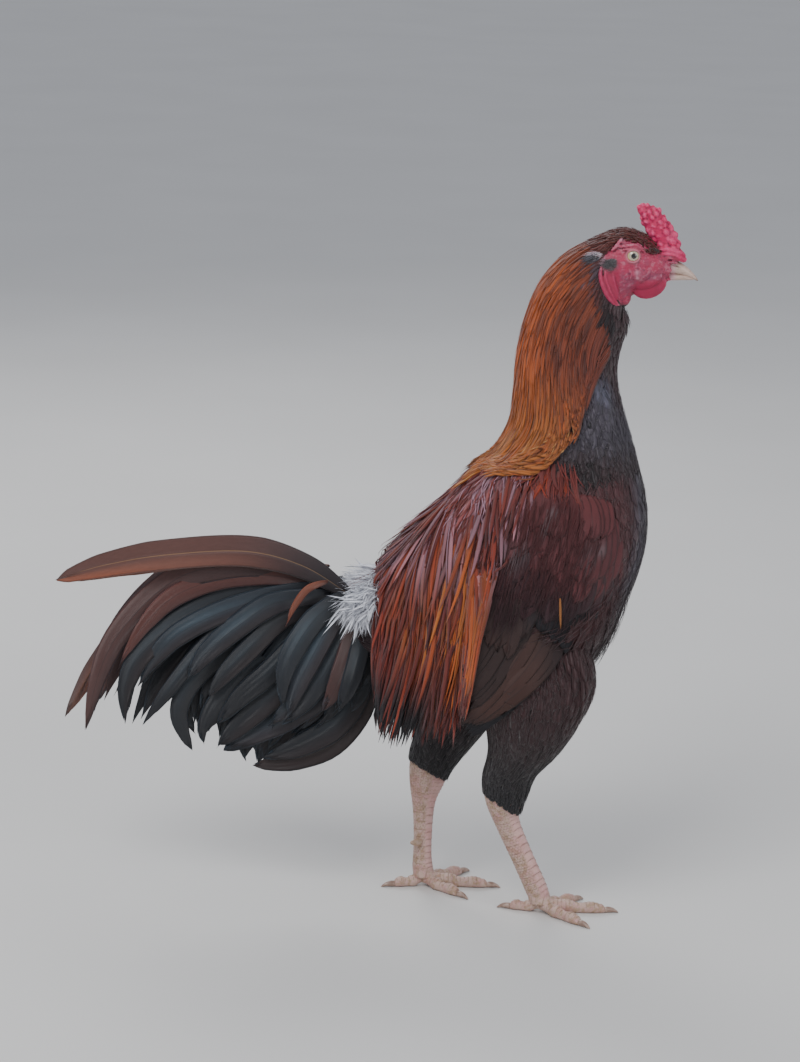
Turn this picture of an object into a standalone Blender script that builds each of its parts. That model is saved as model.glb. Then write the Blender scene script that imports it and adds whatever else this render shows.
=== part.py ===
"""Aseel cock standing still, life size, in metres: +X is the way it faces, +Y its left, +Z up.

The body is one lofted surface from the bill to the tail root, parted into head, neck and torso by
thin cuts. Legs are lofts of the same kind. Feathers are thin tapered vanes laid in tiers over
these surfaces, each with its root sunk into the node that carries it.
"""
import math
import random

import bmesh
import bpy
from mathutils import Matrix, Vector
from mathutils.bvhtree import BVHTree

# Gap kept between neighbouring nodes
GAP = 0.0003
SEED = 7
SIDES = {"right": -1.0, "left": 1.0}

# Body stations from the bill to the tail root: back point x, z, belly point x, z, half width
BODY = (
    (0.1530, 0.5770, 0.1515, 0.5545, 0.0105),
    (0.1430, 0.5865, 0.1430, 0.5490, 0.0155),
    (0.1280, 0.5950, 0.1300, 0.5450, 0.0200),
    (0.1120, 0.5985, 0.1190, 0.5400, 0.0220),
    (0.0940, 0.5920, 0.1150, 0.5330, 0.0225),
    (0.0750, 0.5815, 0.1155, 0.5240, 0.0240),
    (0.0560, 0.5670, 0.1170, 0.5110, 0.0270),
    (0.0390, 0.5460, 0.1145, 0.4950, 0.0300),
    (0.0290, 0.5190, 0.1135, 0.4800, 0.0315),
    (0.0240, 0.4900, 0.1155, 0.4640, 0.0340),
    (0.0230, 0.4610, 0.1210, 0.4420, 0.0380),
    (0.0200, 0.4300, 0.1280, 0.4170, 0.0460),
    (0.0060, 0.4030, 0.1350, 0.3890, 0.0580),
    (-0.0120, 0.3880, 0.1415, 0.3550, 0.0680),
    (-0.0290, 0.3700, 0.1400, 0.3200, 0.0740),
    (-0.0460, 0.3520, 0.1280, 0.2820, 0.0770),
    (-0.0620, 0.3350, 0.1050, 0.2400, 0.0760),
    (-0.0770, 0.3170, 0.0650, 0.2070, 0.0720),
    (-0.0900, 0.3000, 0.0150, 0.1920, 0.0640),
    (-0.1030, 0.2900, -0.0350, 0.1970, 0.0520),
    (-0.1150, 0.2850, -0.0800, 0.2150, 0.0380),
    (-0.1280, 0.2820, -0.1120, 0.2350, 0.0250),
    (-0.1400, 0.2780, -0.1350, 0.2520, 0.0140),
)
BODY_ROWS = [(bx, 0.0, bz, fx, 0.0, fz, half) for bx, bz, fx, fz, half in BODY]
BODY_AROUND = 24

# Stretches of the body's loft: first station, last station, rings
CORES = {
    "head": (0.0, 5.294, 12),
    "neck": (5.306, 11.994, 12),
    "torso": (12.006, 19.594, 16),
    "tail": (19.606, 22.0, 5),
}
# How many stations a grown copy reaches past its own ends, for the same gap there
PAST = {"head": 0.03, "neck": 0.012, "torso": 0.012, "tail": 0.02, "leg": 0.012}

# How far the core lies inside the outline where long feathers cover it, and where that starts
COAT = 0.006
COAT_START, COAT_FULL = 5.0, 8.0
COAT_SIDE, COAT_FRONT = math.radians(95), math.radians(140)

# Leg stations from hip to foot: back point x, z, front point x, z, y of the leg's own line, half width
LEG = {
    "right": (
        (-0.0050, 0.2700, 0.0850, 0.2620, 0.0360, 0.0260),
        (0.0040, 0.2150, 0.0985, 0.2150, 0.0430, 0.0330),
        (0.0100, 0.1750, 0.0880, 0.1780, 0.0440, 0.0310),
        (0.0130, 0.1500, 0.0720, 0.1500, 0.0410, 0.0250),
        (0.0090, 0.1270, 0.0540, 0.1280, 0.0370, 0.0180),
        (0.0095, 0.1120, 0.0470, 0.1080, 0.0350, 0.0135),
        (0.0125, 0.0980, 0.0430, 0.0950, 0.0340, 0.0115),
        (0.0223, 0.0759, 0.0420, 0.0841, 0.0330, 0.0088),
        (0.0365, 0.0462, 0.0545, 0.0538, 0.0315, 0.0080),
        (0.0480, 0.0205, 0.0665, 0.0275, 0.0300, 0.0090),
        (0.0530, 0.0080, 0.0730, 0.0100, 0.0300, 0.0100),
    ),
    "left": (
        (-0.0500, 0.2700, 0.0450, 0.2620, 0.0360, 0.0260),
        (-0.0500, 0.2150, 0.0420, 0.2150, 0.0430, 0.0330),
        (-0.0470, 0.1750, 0.0300, 0.1720, 0.0440, 0.0310),
        (-0.0480, 0.1480, 0.0120, 0.1450, 0.0410, 0.0250),
        (-0.0540, 0.1240, -0.0050, 0.1240, 0.0370, 0.0180),
        (-0.0550, 0.1100, -0.0170, 0.1080, 0.0350, 0.0135),
        (-0.0545, 0.0960, -0.0235, 0.0940, 0.0340, 0.0115),
        (-0.0525, 0.0780, -0.0300, 0.0770, 0.0330, 0.0088),
        (-0.0505, 0.0460, -0.0320, 0.0460, 0.0315, 0.0080),
        (-0.0505, 0.0220, -0.0315, 0.0220, 0.0300, 0.0090),
        (-0.0490, 0.0090, -0.0290, 0.0090, 0.0300, 0.0100),
    ),
}
LEG_ROWS = {
    side: [(bx, y * SIDES[side], bz, fx, y * SIDES[side], fz, half) for bx, bz, fx, fz, y, half in rows]
    for side, rows in LEG.items()
}
LEG_AROUND = 12
THIGH = (0.0, 5.588, 9)
SHANK = (5.612, 8.988, 16)
ANKLE = (9.012, 10.0, 3)
SCUTE_HEIGHT = 0.0005
SCUTES = 8

# Toes: name, angle from straight ahead towards the midline, length, radius at the root
TOES = (
    ("middle", 2.0, 0.056, 0.0064),
    ("inner", 42.0, 0.040, 0.0058),
    ("outer", -44.0, 0.045, 0.0058),
    ("hind", 168.0, 0.027, 0.0050),
)
TOE_END_RADIUS = 0.0040
TOE_AROUND = 8
TOE_RINGS = 6
CLAW_LENGTH = 0.0125

EYE = Vector((0.1215, 0.0172, 0.5775))
EYE_RADIUS = 0.0062

# Bill: where the horn starts on the face, the tip, and the line of the mouth
BILL_ROOT_X = 0.1505
BILL_TIP = Vector((0.1770, 0.0, 0.5590))
BILL_SIDES = 12
MOUTH_CORNER = Vector((0.1430, 0.0, 0.5625))
NOSTRIL = Vector((0.1585, 0.0062, 0.5705))

# Folds of the cheek: x, z, half length, turn
CHEEK_FOLDS = ((0.1270, 0.5655, 0.0100, 0.15), (0.1200, 0.5585, 0.0080, 0.05))
CHEEK_FOLD_Y = 0.0195
CHEEK_FOLD_RADIUS = 0.0034

# Comb in three rows of bulbs, from the front edge over the bill to the high back edge
COMB_FRONT = Vector((0.1575, 0.0, 0.5785))
COMB_BACK = Vector((0.1255, 0.0, 0.6020))
COMB_RADII = (0.0050, 0.0076, 0.0084, 0.0088, 0.0062)
COMB_BULBS = 5
COMB_BULB_RADIUS = 0.0046
COMB_SIDE_STEP = 0.0066
COMB_RISE = 0.0046

# Folded wing in its own side view: shoulder, tip, and the centre and radii of its padded bow
WING_TIP = Vector((-0.004, 0.0, 0.167))
WING_BOW = Vector((0.066, 0.0, 0.312))
WING_BOW_LONG, WING_BOW_WIDE = 0.066, 0.043
WING_BOW_DEPTH = 0.0035
WING_LEAN = math.radians(-70)
WING_COVER_DEPTH = 0.0115
WING_COVER_GROWTH = 0.016
WING_TIP_STRAY = 0.002
WING_SLOPE_REACH = 0.010

# Tiers of vanes on the wing: name, roots' line from front to back, tips' line, vanes, width, height off
# the body at root and tip
WING_TIERS = (
    ("primary", (0.084, 0.262), (0.066, 0.276), (-0.004, 0.165), (-0.008, 0.172), 2, 0.017, 0.0012, 0.0022),
    ("secondary", (0.090, 0.272), (0.034, 0.316), (0.002, 0.170), (-0.028, 0.222), 5, 0.022, 0.0044, 0.0044),
    ("covert", (0.096, 0.296), (0.040, 0.334), (0.068, 0.246), (0.008, 0.286), 4, 0.026, 0.0052, 0.0064),
    ("median", (0.096, 0.324), (0.048, 0.348), (0.082, 0.278), (0.024, 0.314), 4, 0.024, 0.0054, 0.0080),
    ("lesser", (0.084, 0.350), (0.062, 0.360), (0.082, 0.312), (0.042, 0.334), 3, 0.022, 0.0056, 0.0096),
)

# Tiers of neck and back feathers: station of the roots, vanes, degrees from the back line to the first
# and to the last vane of a side, length at the back and at the side, width
HACKLE_TIERS = (
    (5.8, 5, 0, 88, 0.042, 0.038, 0.0165),
    (6.9, 7, 0, 96, 0.056, 0.050, 0.0165),
    (8.2, 7, 0, 98, 0.070, 0.064, 0.0175),
    (9.6, 8, 8, 101, 0.084, 0.076, 0.0185),
    (10.9, 8, 10, 103, 0.084, 0.060, 0.0195),
)
BACK_TIERS = (
    (14.0, 5, 0, 52, 0.070, 0.072, 0.0210),
    (15.4, 5, 0, 58, 0.066, 0.110, 0.0190),
    (16.5, 6, 10, 64, 0.056, 0.146, 0.0170),
    (17.6, 6, 28, 76, 0.084, 0.158, 0.0160),
    (18.6, 6, 46, 88, 0.110, 0.138, 0.0150),
)
HACKLE_STAND = 0.0034
# Height of a vane over what lies under it, near its root and at its tip, and its tilt like a tile's
VANE_RISE = (0.0010, 0.0042)
MIDDLE_LIFT = 0.0007
TILE_TILT = 0.10
ROOT_DEPTH = 0.0030
ROOT_STEP = 0.012
# A vane that would cross another node is laid this much higher, again and again up to a limit
LIFT_STEP = 0.0012
LIFTS = 6
THIGH_COVER = 0.0015
# Middle and radii of the space that the tail's vanes fill behind the rump
TAIL_COVER = ((-0.165, 0.0, 0.262), (0.062, 0.024, 0.045))
VANE_THICK = 0.0005
SHORT_LANCE = (0.50, 1.0, 0.86, 0.12)
LONG_LANCE = (0.50, 0.95, 1.0, 0.74, 0.10)
LONG_FROM = 0.065
BROAD = (0.55, 0.96, 1.0, 0.52)

# Tail feathers of one side, from top to bottom: tip x, z, rise of the arch, width
RECTRICES = (
    (-0.338, 0.150, 0.060, 0.030),
    (-0.292, 0.146, 0.038, 0.031),
    (-0.245, 0.125, 0.020, 0.031),
    (-0.195, 0.110, 0.008, 0.029),
)
COVERTS = (
    (-0.330, 0.212, 0.058, 0.018),
    (-0.288, 0.168, 0.050, 0.018),
    (-0.236, 0.148, 0.032, 0.017),
    (-0.172, 0.118, 0.010, 0.016),
)
TAIL_VANE_ROOT = Vector((-0.116, 0.0, 0.2620))

# Great sickles, seen from the side, from the root to the tip
SICKLES = {
    "right": ((-0.112, 0.279), (-0.150, 0.298), (-0.200, 0.309), (-0.268, 0.306), (-0.320, 0.291),
              (-0.359, 0.277)),
    "left": ((-0.112, 0.276), (-0.187, 0.292), (-0.247, 0.280), (-0.298, 0.246), (-0.335, 0.203),
             (-0.360, 0.152)),
}
SICKLE_WIDTH = 0.025
SICKLE_THICK = 0.0009
RECTRIX_THICK = 0.0007
COVERT_THICK = 0.0006
SICKLE_SPREAD = {"right": (-0.0195, -0.030), "left": (0.0205, 0.040)}

COLOURS = {
    "face_skin": ((0.62, 0.07, 0.10), 0.45),
    "horn": ((0.70, 0.55, 0.44), 0.40),
    "eye": ((0.62, 0.50, 0.22), 0.10),
    "hackle": ((0.50, 0.17, 0.03), 0.45),
    "body_feather": ((0.10, 0.035, 0.03), 0.50),
    "wing_feather": ((0.13, 0.05, 0.035), 0.50),
    "tail_feather": ((0.03, 0.035, 0.045), 0.40),
    "leg_skin": ((0.66, 0.45, 0.36), 0.55),
}


def clear_scene():
    for obj in list(bpy.data.objects):
        bpy.data.objects.remove(obj, do_unlink=True)


def make_materials():
    made = {}
    for name, (colour, roughness) in COLOURS.items():
        mat = bpy.data.materials.new(name)
        mat.use_nodes = True
        shader = mat.node_tree.nodes["Principled BSDF"]
        shader.inputs["Base Color"].default_value = (*colour, 1.0)
        shader.inputs["Roughness"].default_value = roughness
        shader.inputs["Metallic"].default_value = 0.0
        made[name] = mat
    return made


def ramp(low, high, value):
    """0 below low, 1 above high, smooth between."""
    f = max(0.0, min(1.0, (value - low) / (high - low)))
    return f * f * (3 - 2 * f)


def spline(rows, t):
    """The row at t, by a Catmull-Rom curve through the rows."""
    last = len(rows) - 1
    i = max(0, min(last - 1, int(math.floor(t))))
    f = t - i
    a, b, c, d = (rows[max(0, min(last, k))] for k in (i - 1, i, i + 1, i + 2))
    return [
        0.5 * (2 * q + (r - p) * f + (2 * p - 5 * q + 4 * r - s) * f * f + (3 * q - p - 3 * r + s) * f ** 3)
        for p, q, r, s in zip(a, b, c, d)
    ]


def surface(rows, t, angle, lift=0.0):
    """A point on a loft, at an angle from its back line towards +Y, and lifted off it."""
    bx, by, bz, fx, fy, fz, half = spline(rows, t)
    back, front = Vector((bx, by, bz)), Vector((fx, fy, fz))
    way = (back - front).normalized()
    deep = (back - front).length / 2 + lift
    return (back + front) / 2 + way * (math.cos(angle) * deep) + Vector((0, math.sin(angle) * (half + lift), 0))


def body_point(t, angle, lift=0.0):
    """A point on the body's core, which lies inside the outline under the long feathers."""
    turned = abs((angle + math.pi) % math.tau - math.pi)
    depth = COAT * ramp(COAT_START, COAT_FULL, t) * (1 - ramp(COAT_SIDE, COAT_FRONT, turned))
    return surface(BODY_ROWS, t, angle, lift - depth)


def body_normal(t, angle):
    """The core's outward direction there."""
    step = 0.05
    across = body_point(t, angle + step) - body_point(t, angle - step)
    along = body_point(t + step, angle) - body_point(t - step, angle)
    return across.cross(along).normalized()


def leg_point(side, t, angle, lift=0.0):
    """A point on a leg, with scutes as steps down the front of the shank."""
    first, last, _ = SHANK
    if first < t < last:
        step = (t - first) / (last - first) * SCUTES
        lift += SCUTE_HEIGHT * (step - math.floor(step)) * max(0.0, -math.cos(angle))
    return surface(LEG_ROWS[side], t, angle, lift)


def rings_to_mesh(rings):
    """A closed triangle mesh through rings of equal size, with a fan at each end."""
    size = len(rings[0])
    points = [p for ring in rings for p in ring]
    faces = []
    for i in range(len(rings) - 1):
        for k in range(size):
            a, b = i * size + k, i * size + (k + 1) % size
            faces += [(a, b, b + size), (a, b + size, a + size)]
    for base in (0, (len(rings) - 1) * size):
        points.append(sum((points[base + k] for k in range(size)), Vector()) / size)
        faces += [(len(points) - 1, base + k, base + (k + 1) % size) for k in range(size)]
    return points, faces


def loft(shape, stretch, around, floor=None, past=0.0):
    """A closed stretch of a shape(t, angle), from its first station to its last or a little past each."""
    start, end, count = stretch
    rings = []
    stations = [start + (end - start) * i / count for i in range(count + 1)]
    if past:
        stations = [start - past, *stations, end + past]
    for t in stations:
        ring = [shape(t, math.tau * k / around) for k in range(around)]
        if floor is not None:
            for p in ring:
                p.z = max(p.z, floor)
        rings.append(ring)
    return rings_to_mesh(rings)


def core(name, grow=0.0, fine=1):
    """One stretch of the body, or a grown copy that reaches past its ends; fine multiplies its facets."""
    start, end, count = CORES[name]
    past = PAST[name] if grow else 0.0
    return loft(lambda t, a: body_point(t, a, grow), (start, end, count * fine), BODY_AROUND * fine, past=past)


def leg_part(side, stretch, grow=0.0, floor=None, fine=1):
    """One stretch of a leg, or a grown copy that reaches past its ends; fine multiplies its facets."""
    start, end, count = stretch
    past = PAST["leg"] if grow else 0.0
    stretch = (start, end, count * fine)
    return loft(lambda t, a: leg_point(side, t, a, grow), stretch, LEG_AROUND * fine, floor, past)


def merged(meshes):
    """Several meshes as one list of points and one of faces."""
    points, faces = [], []
    for more, sides in meshes:
        base = len(points)
        points += more
        faces += [tuple(base + k for k in face) for face in sides]
    return points, faces


def tree(*meshes):
    return BVHTree.FromPolygons(*merged(meshes))


def made_so_far(*starts):
    """The meshes of the nodes made up to now whose names start so."""
    return [
        ([v.co.copy() for v in obj.data.vertices], [tuple(f.vertices) for f in obj.data.polygons])
        for obj in bpy.context.scene.objects if obj.name.startswith(starts)
    ]


def new_object(name, mesh_data, material):
    mesh = bpy.data.meshes.new(name)
    points, faces = mesh_data
    mesh.from_pydata([tuple(p) for p in points], [], faces)
    work = bmesh.new()
    work.from_mesh(mesh)
    bmesh.ops.remove_doubles(work, verts=work.verts, dist=1e-7)
    bmesh.ops.recalc_face_normals(work, faces=work.faces)
    work.to_mesh(mesh)
    work.free()
    obj = bpy.data.objects.new(name, mesh)
    obj.data.materials.append(material)
    bpy.context.scene.collection.objects.link(obj)
    return obj


def apply_modifiers(obj):
    graph = bpy.context.evaluated_depsgraph_get()
    made = bpy.data.meshes.new_from_object(obj.evaluated_get(graph))
    obj.modifiers.clear()
    obj.data = made


def keep_largest(obj):
    """Drops every closed surface of the object but the largest."""
    work = bmesh.new()
    work.from_mesh(obj.data)
    left, groups = set(work.faces), []
    while left:
        stack, group = [left.pop()], []
        while stack:
            face = stack.pop()
            group.append(face)
            for edge in face.edges:
                for other in edge.link_faces:
                    if other in left:
                        left.remove(other)
                        stack.append(other)
        groups.append(group)
    groups.sort(key=lambda g: -sum(f.calc_area() for f in g))
    for group in groups[1:]:
        bmesh.ops.delete(work, geom=group, context="FACES")
    work.to_mesh(obj.data)
    work.free()


def boolean(obj, pieces, operation, solver="EXACT"):
    """Joins closed pieces to the object, or cuts them from it, with one collection Boolean."""
    group = bpy.data.collections.new("pieces")
    bpy.context.scene.collection.children.link(group)
    made = []
    for number, piece in enumerate(pieces):
        helper = new_object(f"piece_{number}", piece, obj.data.materials[0])
        bpy.context.scene.collection.objects.unlink(helper)
        group.objects.link(helper)
        made.append(helper)
    modifier = obj.modifiers.new("join", "BOOLEAN")
    modifier.operand_type = "COLLECTION"
    modifier.collection = group
    modifier.operation = operation
    modifier.solver = solver
    bpy.context.view_layer.update()
    apply_modifiers(obj)
    for helper in made:
        bpy.data.objects.remove(helper, do_unlink=True)
    bpy.data.collections.remove(group)
    keep_largest(obj)


def smooth(obj, angle=50.0):
    obj.data.shade_smooth()
    obj.data.set_sharp_from_angle(angle=math.radians(angle))


def tube(path, radii, around=8, tall=1.0, floor=None):
    """A closed round tube along a path; tall scales its height against its width."""
    rings = []
    for i, (point, radius) in enumerate(zip(path, radii)):
        along = (path[min(i + 1, len(path) - 1)] - path[max(i - 1, 0)]).normalized()
        guide = Vector((0, 1, 0)) if abs(along.y) < 0.9 else Vector((1, 0, 0))
        other = along.cross(guide).normalized()
        side = other.cross(along)
        ring = []
        for k in range(around):
            turn = math.tau * (k + 0.5) / around
            p = point + side * (math.cos(turn) * radius) + other * (math.sin(turn) * radius * tall)
            if floor is not None:
                p.z = max(p.z, floor)
            ring.append(p)
        rings.append(ring)
    return rings_to_mesh(rings)


def blob(centre, radii, turn=0.0, rings=6, around=10):
    """A closed ellipsoid with radii along x, y and z, turned about Y."""
    spin = Matrix.Rotation(turn, 3, "Y")
    made = []
    for i in range(1, rings):
        polar = math.pi * i / rings
        ring = []
        for k in range(around):
            a = math.tau * k / around
            p = Vector((
                math.cos(polar) * radii[0],
                math.sin(polar) * math.cos(a) * radii[1],
                math.sin(polar) * math.sin(a) * radii[2],
            ))
            ring.append(Vector(centre) + spin @ p)
        made.append(ring)
    points, faces = rings_to_mesh(made)
    for index, sign in ((-2, 1.0), (-1, -1.0)):
        points[index] = Vector(centre) + spin @ Vector((sign * radii[0], 0, 0))
    return points, faces


def vane(path, normals, widths, thick):
    """A flat tapered strip, with both of its faces split into the same triangles."""
    points, faces = [], []
    for i, (p, n) in enumerate(zip(path, normals)):
        along = (path[min(i + 1, len(path) - 1)] - path[max(i - 1, 0)]).normalized()
        side = n.cross(along).normalized()
        up = along.cross(side).normalized()
        half = side * (widths[i] / 2)
        lift = up * (thick / 2)
        points += [p - half + lift, p + half + lift, p + half - lift, p - half - lift]
    for i in range(len(path) - 1):
        a, b = 4 * i, 4 * i + 4
        faces += [(a, a + 1, b + 1), (a, b + 1, b)]
        faces += [(a + 3, b + 2, a + 2), (a + 3, b + 3, b + 2)]
        faces += [(a + 1, a + 2, b + 2), (a + 1, b + 2, b + 1)]
        faces += [(a, b + 3, a + 3), (a, b, b + 3)]
    end = 4 * len(path) - 4
    faces += [(0, 2, 1), (0, 3, 2), (end, end + 1, end + 2), (end, end + 2, end + 3)]
    return points, faces


def draped_vane(under, root, normal, way, length, width, rises, tilt):
    """A vane combed from its root along way over the surfaces under it, hanging free past them."""
    shape = LONG_LANCE if length > LONG_FROM else SHORT_LANCE
    count = len(shape) - 1
    low, high = rises
    base = root.copy()
    path, normals = [root - normal * ROOT_DEPTH], [normal]
    for i in range(1, count + 1):
        flat = (way - normal * way.dot(normal)).normalized()
        guess = base + flat * (ROOT_STEP if i == 1 else (length - ROOT_STEP) / (count - 1))
        hit, hit_normal, _, _ = under.ray_cast(guess + normal * 0.03, -normal, 0.045)
        if hit is None:
            base = guess
            way = (way + Vector((0, 0, -0.5))).normalized()
        else:
            base = hit
            if hit_normal.dot(normal) < 0:
                hit_normal = -hit_normal
            normal = (normal * 0.5 + hit_normal * 0.5).normalized()
        path.append(base + normal * (low + (high - low) * i / count))
        normals.append(normal)
    turned = []
    for i, n in enumerate(normals):
        along = (path[min(i + 1, count)] - path[max(i - 1, 0)]).normalized()
        turned.append(Matrix.Rotation(tilt, 3, along) @ n)
    return vane(path, turned, [width * part for part in shape], VANE_THICK)


def combed_tier(under, others, tier, way_at, rng):
    """A tier of vanes round the back of the body, laid over one another like tiles, clear of other nodes."""
    station, count, first, last, back_length, side_length, width = tier
    made = []
    for k in range(count):
        share = -1 + 2 * k / (count - 1)
        angle = math.copysign(math.radians(first), share) + math.radians(last - first) * share
        angle += rng.uniform(-0.03, 0.03)
        t = station + rng.uniform(-0.08, 0.08)
        length = back_length + (side_length - back_length) * abs(share)
        length *= rng.uniform(0.93, 1.05)
        root = body_point(t, angle)
        middle = abs(share) < 0.5 / count
        lift = MIDDLE_LIFT if middle else 0.0
        tilt = 0.0 if middle else -TILE_TILT * math.copysign(1.0, share)
        wide = width * rng.uniform(0.94, 1.06)
        for _ in range(LIFTS):
            piece = draped_vane(
                under, root, body_normal(t, angle), way_at(root), length, wide,
                (VANE_RISE[0] + lift, VANE_RISE[1] + lift), tilt)
            if not tree(piece).overlap(others):
                made.append(piece)
                break
            lift += LIFT_STEP
    return made


def hackle_way(root):
    """Neck feathers follow the neck down from the crown, then hang."""
    return Vector((-0.85 * ramp(0.51, 0.58, root.z) - 0.10, 0.12 * math.copysign(1, root.y), -1)).normalized()


def back_way(root):
    """Back feathers lie down the back and fall over the flanks."""
    return Vector((-0.42, 0.25 * math.copysign(min(1.0, abs(root.y) / 0.02), root.y), -0.90)).normalized()


def wing_side(cover, x, z):
    """How far out from the midline the body or thigh stands at x, z, seen from the side."""
    hit, _, _, _ = cover.ray_cast(Vector((x, 0.2, z)), Vector((0, -1, 0)), 0.2)
    least = 0.046 + 0.05 * (z - WING_TIP.z)
    return max(hit.y, least) if hit else least


def wing_pad(cover, growth, depth, inner, rings=3, around=18):
    """A closed pad over the wing's bow and vanes, that follows the body's side."""
    long_axis = Vector((math.cos(WING_LEAN), 0, math.sin(WING_LEAN)))
    wide_axis = Vector((-long_axis.z, 0, long_axis.x))
    points, faces = [], []
    for face in (1, 0):
        for r in range(rings + 1):
            share = r / rings
            for k in range(around):
                a = math.tau * k / around
                offset = long_axis * (math.cos(a) * (WING_BOW_LONG + growth)) \
                    + wide_axis * (math.sin(a) * (WING_BOW_WIDE + growth))
                p = WING_BOW + offset * max(share, 0.02)
                rise = depth * math.sqrt(max(0.0, 1 - share ** 2.5)) * face
                p.y = wing_side(cover, p.x, p.z) + inner + rise + 0.0004 * face
                points.append(p)
    size = around * (rings + 1)
    for r in range(rings):
        for k in range(around):
            a, b = r * around + k, r * around + (k + 1) % around
            faces += [(a, b, b + around), (a, b + around, a + around)]
            faces += [(size + a, size + b + around, size + b), (size + a, size + a + around, size + b + around)]
    rim = rings * around
    for k in range(around):
        a, b = rim + k, rim + (k + 1) % around
        faces += [(a, b, size + b), (a, size + b, size + a)]
        if 0 < k < around - 1:
            faces += [(0, k, k + 1), (size, size + k + 1, size + k)]
    return points, faces


def flipped(mesh_data, sign):
    """A shape drawn for the left side, on the side of the given sign."""
    points, faces = mesh_data
    return [Vector((p.x, p.y * sign, p.z)) for p in points], faces


def wing_vanes(cover, rng):
    """Tiers of vanes on the left wing, from the hidden primaries up to the shoulder."""
    made = []
    for name, front, back, front_tip, back_tip, count, width, low, high in WING_TIERS:
        for k in range(count):
            share = k / (count - 1)
            start = Vector((front[0], 0, front[1])).lerp(Vector((back[0], 0, back[1])), share)
            end = Vector((front_tip[0], 0, front_tip[1])).lerp(Vector((back_tip[0], 0, back_tip[1])), share)
            end += Vector((rng.uniform(-1, 1), 0, rng.uniform(-1, 1))) * WING_TIP_STRAY
            steps = len(BROAD) - 1
            path, normals = [], []
            for i in range(steps + 1):
                s = i / steps
                p = start.lerp(end, s)
                p.x += 0.06 * (end - start).length * math.sin(math.pi * s)
                rise = low + (high - low) * s if i else low - ROOT_DEPTH
                p.y = wing_side(cover, p.x, p.z) + rise
                reach = WING_SLOPE_REACH
                slope_x = wing_side(cover, p.x + reach, p.z) - wing_side(cover, p.x - reach, p.z)
                slope_z = wing_side(cover, p.x, p.z + reach) - wing_side(cover, p.x, p.z - reach)
                normals.append(Vector((-slope_x / (2 * reach), 1, -slope_z / (2 * reach))).normalized())
                path.append(p)
            turned = []
            for i, n in enumerate(normals):
                along = (path[min(i + 1, steps)] - path[max(i - 1, 0)]).normalized()
                turned.append(Matrix.Rotation(-TILE_TILT, 3, along) @ n)
            made.append(vane(path, turned, [width * part for part in BROAD], VANE_THICK))
    return made


def arched_path(tip, rise, spread, count):
    """A side-view arch from the tail root out to a drooping tip, spreading sideways."""
    path = []
    for i in range(count + 1):
        s = i / count
        x = TAIL_VANE_ROOT.x + (tip[0] - TAIL_VANE_ROOT.x) * (s + 0.12 * math.sin(math.pi * s))
        z = TAIL_VANE_ROOT.z + (tip[1] - TAIL_VANE_ROOT.z) * s ** 1.6 + rise * math.sin(math.pi * s ** 0.8)
        path.append(Vector((x, spread[0] + (spread[1] - spread[0]) * s, z)))
    return path


def make_tail(mats):
    """Tail root with its tiers of drooping feathers, and the two great sickles as their own nodes."""
    tail = new_object("tail", core("tail"), mats["tail_feather"])
    vanes = []
    for sign in SIDES.values():
        lean = Vector((0, sign, 0.22)).normalized()
        for number, (x, z, rise, width) in enumerate(RECTRICES):
            shift = 0.0015 * number + (0.0007 if sign > 0 else 0.0)
            path = arched_path((x, z), rise, (sign * (0.0022 + shift), sign * (0.008 + 2 * shift)), 6)
            widths = [width * part for part in (0.35, 0.8, 1.0, 1.0, 1.0, 0.85, 0.35)]
            vanes.append(vane(path, [lean] * 7, widths, RECTRIX_THICK))
        for number, (x, z, rise, width) in enumerate(COVERTS):
            shift = 0.0014 * number + (0.0007 if sign > 0 else 0.0)
            path = arched_path((x, z), rise, (sign * (0.0115 + shift), sign * (0.021 + 1.5 * shift)), 6)
            widths = [width * part for part in (0.4, 0.85, 1.0, 0.95, 0.8, 0.5, 0.12)]
            vanes.append(vane(path, [lean] * 7, widths, COVERT_THICK))
    boolean(tail, vanes, "UNION")
    cutters = [core("torso", GAP), core("tail", GAP)]
    for side, points in SICKLES.items():
        rows = [(x, 0.0, z) for x, z in points]
        near, far = SICKLE_SPREAD[side]
        path, count = [], 12
        for i in range(count + 1):
            p = Vector(spline(rows, (len(rows) - 1) * i / count))
            p.y = near + (far - near) * i / count
            path.append(p)
        lean = Vector((0, SIDES[side], 0.15)).normalized()
        shares = [min(1.0, 0.35 + i / 4) * min(1.0, (count + 0.5 - i) / 5) for i in range(count + 1)]
        blade = vane(path, [lean] * (count + 1), [SICKLE_WIDTH * share for share in shares], SICKLE_THICK)
        node = new_object(f"sickle_{side}", blade, mats["tail_feather"])
        boolean(node, cutters, "DIFFERENCE")


def toe_and_claw(hub, heading, length, radius):
    """A toe with knuckles, flat where it meets the floor, and the claw face to face with its end."""
    way = Vector((math.cos(heading), math.sin(heading), 0.0))
    path, radii = [], []
    for i in range(TOE_RINGS + 1):
        s = i / TOE_RINGS
        knuckle = 1.0 + 0.10 * math.cos(s * math.tau * 2.5)
        r = (radius + (TOE_END_RADIUS - radius) * s) * knuckle
        path.append(hub + way * (length * s) + Vector((0, 0, r * 0.86 - hub.z)) * min(1.0, s * 3.0))
        radii.append(r)
    toe = tube(path, radii, TOE_AROUND, floor=0.0)
    along = (path[-1] - path[-2]).normalized()
    start = path[-1] + along * (GAP + 0.0001)
    knee = start + along * (CLAW_LENGTH * 0.2)
    claw_path, claw_radii = [start, knee], [0.0033, 0.0030]
    for s in (0.35, 0.7, 1.0):
        claw_path.append(knee + way * (CLAW_LENGTH * 0.8 * s) - Vector((0, 0, 0.0022 * s * s)))
        claw_radii.append(0.0030 * (1.0 - s) ** 0.8 + 0.0003)
    return toe, tube(claw_path, claw_radii, 6, floor=0.0)


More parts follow.
